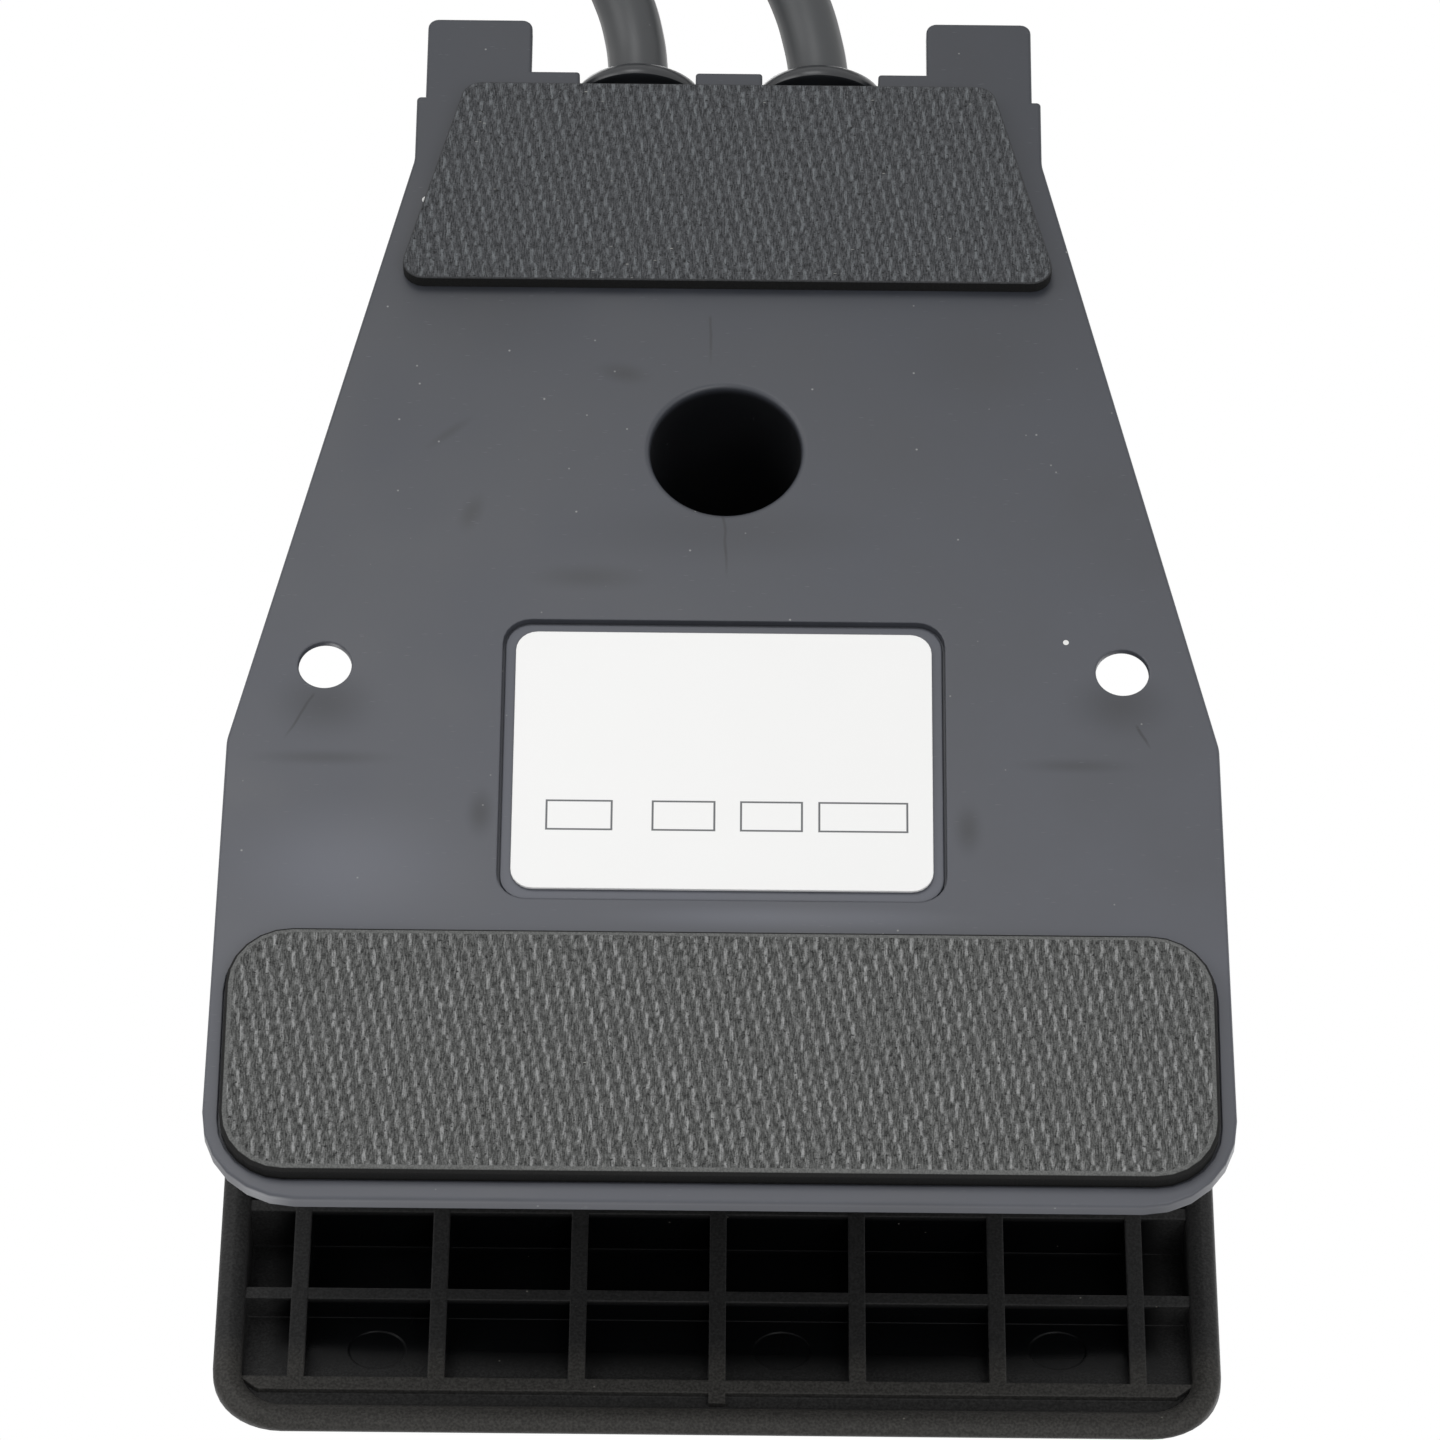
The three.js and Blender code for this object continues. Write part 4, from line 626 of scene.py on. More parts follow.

# the recess floor under the label is paler, and the tower's bore is painted black inside as shade
on_floor = node(tree, "Math", {
    0: node(tree, "Math", {0: spot.outputs["Z"], 1: (UNDERSIDE + LABEL_DEEP) * MM}, operation="SUBTRACT"),
}, operation="ABSOLUTE")
paler = node(tree, "MapRange", {"Value": on_floor, "From Min": 0.08 * MM, "From Max": 0.02 * MM,
                                "To Min": 1.0, "To Max": 1.38})
from_tower = node(tree, "VectorMath", {0: place, 1: (0, TOWER_Y * MM, 0)}, operation="SUBTRACT")
from_axis = node(tree, "VectorMath", {
    0: node(tree, "VectorMath", {0: from_tower, 1: (1, 1, 0)}, operation="MULTIPLY")}, operation="LENGTH")
in_bore = node(tree, "Math", {0: from_axis.outputs["Value"], 1: BORE * MM}, operation="LESS_THAN")
# painted shade: deeper into the bore, the grey is darkened nearly to black
deep = node(tree, "MapRange", {"Value": spot.outputs["Z"], "From Min": (UNDERSIDE + 0.15) * MM,
                               "From Max": (UNDERSIDE + 1.5) * MM, "To Max": 0.88})
bore_shade = node(tree, "Math", {0: 1.0, 1: node(tree, "Math", {0: in_bore, 1: deep},
                                              operation="MULTIPLY")}, operation="SUBTRACT")
tone = node(tree, "Math", {0: tone, 1: paler}, operation="MULTIPLY")
tone = node(tree, "Math", {0: tone, 1: bore_shade}, operation="MULTIPLY")
shade = node(tree, "HueSaturation", {"Color": shade, "Value": tone})

# a weld line is a thin dark trace from a hole: start, end, in millimetres
WELD_LINES = [((0.2, 16.4), (-0.4, 7.3)), ((2.0, 45.5), (1.9, 38.0)), ((48.9, -9.4), (52.3, -16.0)),
              ((-49.2, -12.8), (-50.8, -16.2))]
WELD_HALF = 0.11
WELD_WANDER = 3.0
for (x0, y0), (x1, y1) in WELD_LINES:
    along = Vector((x1 - x0, y1 - y0))
    unit = along.normalized()
    shifted = node(tree, "VectorMath", {0: place, 1: (x0 * MM, y0 * MM, 0)}, operation="SUBTRACT")
    wander = node(tree, "TexNoise", {"Vector": place, "Scale": 1000 / WELD_WANDER, "Detail": 1.0})
    run = node(tree, "VectorMath", {0: shifted, 1: (unit.x, unit.y, 0)}, operation="DOT_PRODUCT")
    aside = node(tree, "VectorMath", {0: shifted, 1: (-unit.y, unit.x, 0)}, operation="DOT_PRODUCT")
    bent = node(tree, "Math", {0: wander, 1: 0.0006, 2: aside.outputs["Value"]},
                operation="MULTIPLY_ADD")
    off = node(tree, "Math", {0: node(tree, "Math", {0: bent, 1: 0.0003},
                                      operation="SUBTRACT")}, operation="ABSOLUTE")
    thin = node(tree, "MapRange", {"Value": off, "From Min": WELD_HALF * 2.2 * MM,
                                   "From Max": WELD_HALF * 0.6 * MM})
    started = node(tree, "MapRange", {"Value": run.outputs["Value"], "From Min": -0.0002,
                                      "From Max": 0.0004})
    ended = node(tree, "MapRange", {"Value": run.outputs["Value"], "From Min": along.length * MM,
                                    "From Max": along.length * 0.6 * MM})
    mask = node(tree, "Math", {0: thin, 1: started}, operation="MULTIPLY")
    mask = node(tree, "Math", {0: mask, 1: ended}, operation="MULTIPLY")
    below = node(tree, "MapRange", {"Value": spot.outputs["Z"], "From Min": 0.0024, "From Max": 0.0021})
    mask = node(tree, "Math", {0: mask, 1: below}, operation="MULTIPLY")
    mask = node(tree, "Math", {0: mask, 1: 0.8}, operation="MULTIPLY")
    shade = node(tree, "Mix", {0: mask, 6: shade, 7: colour(ABS_WELD)}, data_type="RGBA").outputs[2]

# scratches: thin stretched cells, kept to patches by a coarse noise
for angle, seed in ((18, 0.0), (-35, 3.7), (74, 8.1)):
    turned_place = node(tree, "Mapping", {
        "Vector": place, "Rotation": (0, 0, math.radians(angle)), "Location": (seed, seed, 0),
        "Scale": (1, 14, 1)})
    strokes = node(tree, "TexVoronoi", {"Vector": turned_place, "Scale": 1000 / SCRATCH_LENGTH})
    patch = node(tree, "TexNoise", {"Vector": turned_place, "Scale": 30.0, "Detail": 1.0})
    stroke = node(tree, "MapRange", {"Value": strokes.outputs["Distance"], "From Min": 0.085,
                                     "From Max": 0.03})
    chosen = node(tree, "MapRange", {"Value": patch, "From Min": 0.5, "From Max": 0.62, "To Max": 0.4})
    mask = node(tree, "Math", {0: stroke, 1: chosen}, operation="MULTIPLY")
    shade = node(tree, "Mix", {0: mask, 6: shade, 7: colour(ABS_SCRATCH)}, data_type="RGBA").outputs[2]

# chips: small white nicks, as x, y and radius
CHIPS = [(37.6, 62.6, 0.5), (-41.0, -1.3, 0.35)]
for x, y, radius in CHIPS:
    away = node(tree, "VectorMath", {0: place, 1: (x * MM, y * MM, UNDERSIDE * MM)}, operation="DISTANCE")
    nick = node(tree, "Math", {0: away.outputs["Value"], 1: radius * MM}, operation="LESS_THAN")
    shade = node(tree, "Mix", {0: nick, 6: shade, 7: colour(ABS_CHIP)}, data_type="RGBA").outputs[2]
motes = node(tree, "TexVoronoi", {"Vector": place, "Scale": 1000 / DUST_STEP, "Randomness": 1.0})
mote = node(tree, "MapRange", {"Value": motes.outputs["Distance"], "From Min": 0.05, "From Max": 0.02,
                               "To Max": 0.5})
shade = node(tree, "Mix", {0: mote, 6: shade, 7: colour(ABS_DUST)}, data_type="RGBA").outputs[2]
rough = node(tree, "MapRange", {"Value": clouds, "From Min": 0.3, "From Max": 0.7,
                                "To Min": 0.38, "To Max": 0.5})
soft_edge = node(tree, "Bevel", {"Radius": 0.25 * MM}, samples=6)
raised = node(tree, "Bump", {"Height": grain, "Strength": 0.16, "Distance": 0.00004,
                             "Normal": soft_edge})
node(tree, "OutputMaterial", {"Surface": node(tree, "BsdfPrincipled", {
    "Base Color": shade, "Roughness": rough, "Normal": raised, "IOR": 1.5,
})})
finished(base_plate, abs_grey, "base", "base_grey", "base_plate")

# ---------------------------------------------------------------- pads
# Two non-slip pads of black rubber sheet that cured against twill cloth, so their faces keep
# its short raised threads. They are die cut and glued, the front one into a shallow recess.

PAD_BACK = 1.9
REAR_PAD_CORNERS = [(40.9, 33.1, 2.6), (33, 3.2, 2.6)]
THREAD_STEP = (1.22, -1.53)    # from one float to the next one beside it, in millimetres
THREAD_ROW = (0.51, 2.18)      # and to the next one along its thread
THREAD_HALF = 0.19             # half the width of a thread's raised float
FLOAT_HALF = 1.28              # half its length
STRAND, STRAND_LENGTH = 0.17, 0.9   # a bundle of fibres, since one alone is too fine to show
THREAD_WOBBLE, CRUMB, PIT = 1.1, 0.2, 0.5
FIBRE_STEP = 4.5               # from one lost fibre to the next
PAD_RIM, PAD_CUT = 0.9, 0.4    # the front pad's smooth pressed rim, and its cut corner
RIM_FALL = 0.14
PAD_ROUND = 0.25


# nitrile rubber with a cloth face: matt and near black, with painted shade between the threads and a
# painted highlight where each float stands up, with frayed strands, pits painted dark as shade, a
# few pale fibres, and a black cut side painted darker still as shade
def cloth_faced_rubber(name, ground, strand_shade, float_highlight, rim_shade, dust_share):
    """The two pads' material, from its four shades and how much lint it holds."""
    material, tree = new_material(name)
    place = node(tree, "TexCoord").outputs["Object"]
    wobble = node(tree, "TexNoise", {"Vector": place, "Scale": 1000 / THREAD_WOBBLE, "Detail": 2.0})
    stray = node(tree, "VectorMath", {0: wobble.outputs["Color"], 1: (0.5, 0.5, 0.5)},
                 operation="SUBTRACT")
    shaken = node(tree, "VectorMath", {0: stray, 1: (0.0004, 0.0006, 0), 2: place},
                  operation="MULTIPLY_ADD")
    area = THREAD_STEP[0] * THREAD_ROW[1] - THREAD_STEP[1] * THREAD_ROW[0]
    across = (THREAD_ROW[1] / area / MM, -THREAD_ROW[0] / area / MM, 0)
    down = (-THREAD_STEP[1] / area / MM, THREAD_STEP[0] / area / MM, 0)
    step = node(tree, "VectorMath", {0: shaken, 1: across}, operation="DOT_PRODUCT").outputs["Value"]
    row = node(tree, "VectorMath", {0: shaken, 1: down}, operation="DOT_PRODUCT").outputs["Value"]
    cell = node(tree, "CombineXYZ", {
        "X": node(tree, "Math", {0: step}, operation="FLOOR"),
        "Y": node(tree, "Math", {0: row}, operation="FLOOR")})
    own = node(tree, "TexWhiteNoise", {"Vector": cell})
    in_step = node(tree, "Math", {0: node(tree, "Math", {0: step}, operation="FRACT"), 1: 0.5},
                   operation="SUBTRACT")
    in_row = node(tree, "Math", {0: node(tree, "Math", {0: row}, operation="FRACT"), 1: 0.5},
                  operation="SUBTRACT")
    offsets = []
    for axis in (0, 1):
        part = node(tree, "Math", {0: in_row, 1: THREAD_ROW[axis]}, operation="MULTIPLY")
        offsets.append(node(tree, "Math", {
            0: node(tree, "Math", {0: in_step, 1: THREAD_STEP[axis], 2: part}, operation="MULTIPLY_ADD"),
        }, operation="ABSOLUTE"))
    narrow = node(tree, "MapRange", {"Value": offsets[0], "From Min": THREAD_HALF * 1.5,
                                     "From Max": THREAD_HALF * 0.5}, interpolation_type="SMOOTHSTEP")
    long = node(tree, "MapRange", {"Value": offsets[1], "From Min": FLOAT_HALF,
                                   "From Max": FLOAT_HALF * 0.6}, interpolation_type="SMOOTHSTEP")
    float_mask = node(tree, "Math", {0: narrow, 1: long}, operation="MULTIPLY")

    # strands run along every thread, and fine crumbs lie over them
    strands_at = node(tree, "Mapping", {
        "Vector": place, "Scale": (1000 / STRAND, 1000 / STRAND_LENGTH, 1000 / STRAND)})
    strands = node(tree, "MapRange", {
        "Value": node(tree, "TexNoise", {"Vector": strands_at, "Scale": 1.0, "Detail": 1.0}),
        "From Min": 0.36, "From Max": 0.64})
    crumbs = node(tree, "MapRange", {
        "Value": node(tree, "TexNoise", {"Vector": place, "Scale": 1000 / CRUMB, "Detail": 1.0}),
        "From Min": 0.36, "From Max": 0.64})
    mixed = node(tree, "Mix", {0: 0.35, 2: strands, 3: crumbs})
    # painted shade: the ground darkens between the columns of floats
    groove_shade = node(tree, "MapRange", {"Value": offsets[0], "From Min": 0.35, "From Max": 0.7,
                                     "To Min": 1.0, "To Max": 0.6})
    shown = node(tree, "Math", {0: mixed, 1: groove_shade}, operation="MULTIPLY")
    shade = node(tree, "Mix", {0: shown, 6: colour(ground), 7: colour(strand_shade)},
                 data_type="RGBA").outputs[2]
    # painted highlight: each raised float is painted paler, as if lit
    strength = node(tree, "MapRange", {"Value": own.outputs["Value"], "To Min": 0.35, "To Max": 0.95})
    stood = node(tree, "Math", {0: float_mask, 1: strength}, operation="MULTIPLY")
    frayed = node(tree, "MapRange", {"Value": mixed, "To Min": 0.25, "To Max": 1.0})
    lit = node(tree, "Math", {0: stood, 1: frayed}, operation="MULTIPLY", use_clamp=True)
    shade = node(tree, "Mix", {0: lit, 6: shade, 7: colour(float_highlight)}, data_type="RGBA").outputs[2]
    # painted shade: the pits are painted near black
    pits = node(tree, "TexNoise", {"Vector": place, "Scale": 1000 / PIT, "Detail": 1.0})
    pit = node(tree, "MapRange", {"Value": pits, "From Min": 0.36, "From Max": 0.26, "To Max": 0.85})
    shade = node(tree, "Mix", {0: pit, 6: shade, 7: colour(PAD_PIT_SHADE)}, data_type="RGBA").outputs[2]
    for turn, stretch in ((25, 5.0), (-50, 7.0), (80, 4.0)):
        lying = node(tree, "Mapping", {"Vector": place, "Rotation": (0, 0, math.radians(turn)),
                                       "Scale": (1, stretch, 1), "Location": (turn * 0.1, 0, 0)})
        fibres = node(tree, "TexVoronoi", {"Vector": lying, "Scale": 1000 / FIBRE_STEP})
        fibre = node(tree, "MapRange", {"Value": fibres.outputs["Distance"], "From Min": 0.055,
                                        "From Max": 0.03, "To Max": 0.85})
        few = node(tree, "Math", {0: fibres.outputs["Color"], 1: 1 - dust_share}, operation="GREATER_THAN")
        mask = node(tree, "Math", {0: fibre, 1: few}, operation="MULTIPLY")
        shade = node(tree, "Mix", {0: mask, 6: shade, 7: colour(PAD_FIBRE)},
                     data_type="RGBA").outputs[2]

    # the rim and the cut side, told apart by how far they stand back from the face; the cut side is
    # the rubber's own black, painted darker still as shade
    back = node(tree, "SeparateXYZ", {0: place}).outputs["Z"]
    on_rim = node(tree, "MapRange", {"Value": back, "From Min": 0.005 * MM, "From Max": 0.03 * MM})
    rubbed = node(tree, "HueSaturation", {
        "Color": colour(rim_shade),
        "Value": node(tree, "MapRange", {"Value": crumbs, "To Min": 0.75, "To Max": 1.2})})
    shade = node(tree, "Mix", {0: on_rim, 6: shade, 7: rubbed}, data_type="RGBA").outputs[2]
    on_side = node(tree, "MapRange", {"Value": back, "From Min": (RIM_FALL + 0.01) * MM,
                                      "From Max": (RIM_FALL + 0.08) * MM})
    torn = node(tree, "HueSaturation", {
        "Color": colour(PAD_SIDE_AND_SHADE),
        "Value": node(tree, "MapRange", {"Value": crumbs, "To Min": 0.3, "To Max": 2.0})})
    shade = node(tree, "Mix", {0: on_side, 6: shade, 7: torn}, data_type="RGBA").outputs[2]
    height = node(tree, "Math", {
        0: pit, 1: -0.6, 2: node(tree, "Math", {0: mixed, 1: 0.35, 2: stood}, operation="MULTIPLY_ADD"),
    }, operation="MULTIPLY_ADD")
    raised = node(tree, "Bump", {"Height": height, "Strength": 0.55, "Distance": 0.00011})
    node(tree, "OutputMaterial", {"Surface": node(tree, "BsdfPrincipled", {
        "Base Color": shade, "Roughness": 0.8, "Normal": raised, "IOR": 1.5, "Specular IOR Level": 0.3,
    })})
    return material


def pressed_pad(outline, high):
    """A pad whose woven face stops short of a smooth rim that was pressed down, and a cut corner."""
    return stepped(outline, [(PAD_RIM, 0), (PAD_CUT, RIM_FALL), (0, RIM_FALL + PAD_CUT), (0, high)])


PAD_FIBRE = "#b4b4ae"
PAD_PIT_SHADE = "#0a0a0a"
PAD_SIDE_AND_SHADE = "#060606"
woven_front = cloth_faced_rubber(
    "cloth_faced_rubber_front", ground="#1e1f1e", strand_shade="#757675", float_highlight="#a8a9a9",
    rim_shade="#686968", dust_share=0.12)
woven_rear = cloth_faced_rubber(
    "cloth_faced_rubber_rear", ground="#1a1b1d", strand_shade="#5f6164", float_highlight="#767a7d",
    rim_shade="#3b3c3e", dust_share=0.3)

front_pad = carved("front_pad_piece", pressed_pad(front_pad_outline, UNDERSIDE + 0.3))
finished(front_pad, woven_front, "base", "pad_rubber", "front_pad")
rear_pad = carved("rear_pad_piece", slab(plan_outline(REAR_PAD_CORNERS), 0, PAD_BACK, PAD_ROUND))
finished(rear_pad, woven_rear, "base", "pad_rubber", "rear_pad")

# ---------------------------------------------------------------- label
# A rating label of white vinyl film, printed in grey and stuck into its recess. It is left
# blank, with only the four empty ruled boxes that such a label has.

LABEL_SIZE = (49.8, 35.4, 2.6)
LABEL_FACE = 2.2
LABEL_WHITE = "#fdfdfc"
LABEL_INK = "#5b5d60"
LABEL_BOXES = [(16.95, 7.7), (4.6, 7.3), (-5.8, 7.2), (-16.65, 10.4)]   # middle and width
LABEL_BOX_Y = -25.75
LABEL_BOX_HEIGHT = 3.9
RULE = 0.24
LABEL_SMUDGE, LABEL_RIPPLE = 9, 5

# vinyl film, cast and white: smooth, with a dull gloss, slight ripples and faint smudges
vinyl, tree = new_material("printed_vinyl")
place = node(tree, "TexCoord").outputs["Object"]
spot = node(tree, "SeparateXYZ", {0: place})
ink = None
for middle, width in LABEL_BOXES:
    reach = []
    for axis, centre, half in (("X", middle, width / 2), ("Y", LABEL_BOX_Y, LABEL_BOX_HEIGHT / 2)):
        off = node(tree, "Math", {
            0: node(tree, "Math", {0: spot.outputs[axis], 1: centre * MM}, operation="SUBTRACT"),
        }, operation="ABSOLUTE")
        reach.append(node(tree, "Math", {0: off, 1: half * MM}, operation="SUBTRACT"))
    edge = node(tree, "Math", {0: reach[0], 1: reach[1]}, operation="MAXIMUM")
    rule = node(tree, "MapRange", {
        "Value": node(tree, "Math", {0: edge}, operation="ABSOLUTE"),
        "From Min": RULE * 0.62 * MM, "From Max": RULE * 0.38 * MM})
    ink = rule if ink is None else node(tree, "Math", {0: ink, 1: rule}, operation="MAXIMUM")
smudge = node(tree, "TexNoise", {"Vector": place, "Scale": 1000 / LABEL_SMUDGE, "Detail": 3.0})
film = node(tree, "HueSaturation", {
    "Color": colour(LABEL_WHITE),
    "Value": node(tree, "MapRange", {"Value": smudge, "To Min": 0.985, "To Max": 1.0})})
shade = node(tree, "Mix", {0: ink, 6: film, 7: colour(LABEL_INK)}, data_type="RGBA").outputs[2]
ripple = node(tree, "TexNoise", {"Vector": place, "Scale": 1000 / LABEL_RIPPLE, "Detail": 1.0})
node(tree, "OutputMaterial", {"Surface": node(tree, "BsdfPrincipled", {
    "Base Color": shade, "Roughness": 0.4, "IOR": 1.52,
    "Normal": node(tree, "Bump", {"Height": ripple, "Strength": 0.1, "Distance": 0.0001}),
})})
label = carved("label_piece", slab(rounded_box(*LABEL_SIZE, 0, LABEL_Y), LABEL_FACE, LABEL_FACE + 0.35, 0.08))
finished(label, vinyl, "base", "label_white", "label_plate")

# ---------------------------------------------------------------- cord bushings
# Two flanged bushings of soft black vinyl, pushed into the rear wall's half-round seats, whose
# domed flanges fill the plate's notches. Each tapers inside to grip its cord.

FLANGE = 8.7
BUSHING_NECK = 5.4
BUSHING_WALL = REAR - 2        # rear wall's outer face

# soft vinyl, moulded: black with a wet-looking gloss and a slightly uneven skin
VINYL_BLACK = "#26282b"
VINYL_RIPPLE, VINYL_PATCH = 1.6, 7

soft_black, tree = new_material("moulded_soft_vinyl")
place = node(tree, "TexCoord").outputs["Object"]
skin = node(tree, "TexNoise", {"Vector": place, "Scale": 1000 / VINYL_RIPPLE, "Detail": 3.0})
patches = node(tree, "TexNoise", {"Vector": place, "Scale": 1000 / VINYL_PATCH, "Detail": 2.0})
node(tree, "OutputMaterial", {"Surface": node(tree, "BsdfPrincipled", {
    "Base Color": node(tree, "HueSaturation", {
        "Color": colour(VINYL_BLACK),
        "Value": node(tree, "MapRange", {"Value": patches, "To Min": 0.8, "To Max": 1.2})}),
    "Roughness": node(tree, "MapRange", {"Value": patches, "To Min": 0.24, "To Max": 0.36}),
    "IOR": 1.53,
    "Normal": node(tree, "Bump", {"Height": skin, "Strength": 0.15, "Distance": 0.00008}),
})})
bushing_profile = [
    (0, -20.3), (4.3, -20.3), (4.6, -20.0), (5.9, -5.3), (6.7, -4.7), (6.7, -2.35), (BUSHING_NECK, -2.3),
    (BUSHING_NECK, 2.3), (8.2, 2.3), (8.55, 2.5), (FLANGE, 2.9), (8.62, 3.5), (8.3, 4.15), (7.6, 4.75),
    (6.6, 5.25), (5.6, 5.55), (5.1, 5.64), (4.9, 5.58), (4.75, 5.4), (4.6, 5.45), (4.3, 5.7), (3.6, 5.8),
    (0, 5.8),
]
for name, x in (("supply_cord_bushing", CORD_SLOTS[0]), ("motor_cord_bushing", CORD_SLOTS[1])):
    bushing = carved(name + "_piece", turned(bushing_profile, (x, BUSHING_WALL, PARTING), "y", 72))
    finished(bushing, soft_black, "base", "cord_rubber", name)

# ---------------------------------------------------------------- treadle
# One deep moulding of black ABS: a wide toe with a rounded bead round its rim, a narrower neck
# over the control, seven long ribs and cross ribs inside, and a sunk top for the tread mat.

REST_TILT = math.radians(8.15)
LIP = -174.2                   # with the hinge at the origin and the treadle level
TAIL = 8.2
TOE_HALF, NECK_HALF = 59.6, 41.6
NECK_FRONT = LIP + 60 + 17
RIB_LEVEL = 7.7
TREADLE_TOP = RIB_LEVEL + 11.2
RIM = RIB_LEVEL - 1
NECK_RIM = RIB_LEVEL - 8
TOE_BREAK = LIP + 36
TOE_FALL = math.tan(math.radians(15))
BREAK_ROUND = 4.0
SHELL = 2.5
SKIRT = 3.4
NOSE_FLOOR = RIM + 1.9
BEAD_WIDE, BEAD_TALL = 1.65, 1.2
TOP_ROUND, TOP_FALL = 2.0, 2.2   # the top face's rounded edge: across and down
RIB, CROSS_RIB = 2.0, 1.6
RIB_STEP = 16.6
LONG_RIBS = [RIB_STEP * k for k in range(-3, 4)]
NOSE_RIB = (LIP + 5.65, LIP + 7.5)
CROSS_RIBS = [LIP + 18.6, LIP + 31.3] + [LIP + 31.3 + 23.2 * k for k in range(1, 6)]
TREADLE_CORNERS = [(TOE_HALF, LIP, 8.5), (TOE_HALF, LIP + 60, 9),
                   (NECK_HALF, NECK_FRONT, 12), (NECK_HALF, TAIL, 5)]


def treadle_top(y):
    """Height of the treadle's top face: level, then falling towards the lip from a soft break."""
    past = TOE_BREAK - y
    if past <= -BREAK_ROUND:
        return TREADLE_TOP
    if past >= BREAK_ROUND:
        return TREADLE_TOP - past * TOE_FALL
    return TREADLE_TOP - TOE_FALL * (past + BREAK_ROUND) ** 2 / (4 * BREAK_ROUND)


def treadle_floor(y):
    """Height of the plate's lower face, inside the treadle."""
    return max(treadle_top(y) - SHELL, NOSE_FLOOR)


def treadle_rim(y):
    """Height of the rim: low at the neck, where the skirt hangs over the posts."""
    return eased(RIM, NECK_RIM, (y - NECK_FRONT + 4.5) / 3.0)


def closely_spaced(points, step):
    """The same open line with points added where two are further apart than a step."""
    filled = [points[0]]
    for a, b in zip(points, points[1:]):
        count = max(1, math.ceil(math.dist(a, b) / step))
        filled += [(a[0] + (b[0] - a[0]) * k / count, a[1] + (b[1] - a[1]) * k / count)
                   for k in range(1, count + 1)]
    return filled


def ladder(start, count):
    """Faces over a ring that is the same on both sides of x = 0, as strips from side to side."""
    last = start + count - 1
    return [(start + i, start + i + 1, last - 1 - i, last - i) for i in range(count // 2 - 1)]


def treadle_half_at(y, inset):
    """Half the treadle's width at y, less an inset."""
    widths = [a[0] + (b[0] - a[0]) * (y - a[1]) / (b[1] - a[1])
              for a, b in zip(treadle_flank, treadle_flank[1:]) if b[1] > a[1] and a[1] <= y <= b[1]]
    return (max(widths) if widths else NECK_HALF) - inset


def treadle_shell():
    """The rim, bead, walls and top plate as one closed skin."""
    outline = both_sides(treadle_flank)
    count = len(outline)
    rings = []

    def ring(inset, height):
        rings.append([(x, y, height(y0)) for (x, y), (_, y0) in zip(drawn_in(outline, inset), outline)])

    def edge(y):
        return min(TOP_FALL, (treadle_top(y) - treadle_rim(y)) * 0.5)

    quarter = [math.pi / 2 * k / 5 for k in range(6)]
    for a in quarter:
        ring(TOP_ROUND * (1 - math.sin(a)), lambda y, a=a: treadle_top(y) - edge(y) * (1 - math.cos(a)))
    for a in reversed(quarter):
        ring(BEAD_WIDE * (1 - math.sin(a)), lambda y, a=a: treadle_rim(y) + BEAD_TALL * (1 - math.cos(a)))
    for a in quarter:
        ring(SKIRT - BEAD_WIDE * (1 - math.sin(a)),
             lambda y, a=a: treadle_rim(y) + BEAD_TALL * (1 - math.cos(a)))
    ring(SKIRT + 0.02, lambda y: treadle_floor(y) - 0.25)
    ring(SKIRT + 0.3, treadle_floor)
    vertices = [v for r in rings for v in r]
    faces = []
    for r in range(len(rings) - 1):
        a, b = r * count, (r + 1) * count
        faces += [(a + i, b + i, b + (i + 1) % count, a + (i + 1) % count) for i in range(count)]
    faces += ladder(0, count)
    faces += [face[::-1] for face in ladder((len(rings) - 1) * count, count)]
    return vertices, faces


def treadle_rib(x, thick, start, end, low=RIB_LEVEL):
    """A long rib: its lower edge is straight and its upper one follows into the plate."""
    stations = [start + (end - start) * k / 24 for k in range(25)]
    points = [(start, low), (end, low)] + [(y, treadle_floor(y) + 0.5) for y in reversed(stations)]
    return side_slab(points, x - thick / 2, x + thick / 2, 0.12)


treadle_flank = closely_spaced(flank(TREADLE_CORNERS, 10), 3.0)
treadle_steps = []
for x in LONG_RIBS:
    start = LIP + 4.2 if x == 0 else NOSE_RIB[0] + 0.3
    end = NECK_FRONT - 14 if abs(x) > NECK_HALF - 4 else TAIL - 22
    treadle_steps.append(("UNION", treadle_rib(x, RIB, start, end)))
for y in CROSS_RIBS:
    half = treadle_half_at(y, SKIRT - 0.4)
    treadle_steps.append(("UNION", slab(
        [(half, y), (half, y + CROSS_RIB), (-half, y + CROSS_RIB), (-half, y)],
        RIB_LEVEL + 0.05, treadle_floor(y) + 0.5, 0.12)))
half = TOE_HALF - SKIRT + 0.4
treadle_steps.append(("UNION", slab([(half - 2.4, NOSE_RIB[0]), (half, NOSE_RIB[1]), (-half, NOSE_RIB[1]),
                                     (2.4 - half, NOSE_RIB[0])], RIB_LEVEL, NOSE_FLOOR + 0.9, 0.12)))

# ejector marks: shallow round dents in the plate's lower face
EJECTOR_MARKS = [(40.4, LIP + 13), (-7.7, LIP + 13.5), (-40.5, LIP + 14)]
EJECTOR_RADIUS = 3.4
toe_slope = Matrix.Rotation(math.radians(15), 4, "X")
for x, y in EJECTOR_MARKS:
    dent, faces = turned([(EJECTOR_RADIUS, -0.6), (EJECTOR_RADIUS, 0.16)], (0, 0, 0), sides=48)
    placed = [toe_slope @ Vector(v) + Vector((x, y, treadle_floor(y))) for v in dent]
    treadle_steps.append(("DIFFERENCE", ([tuple(v) for v in placed], faces)))

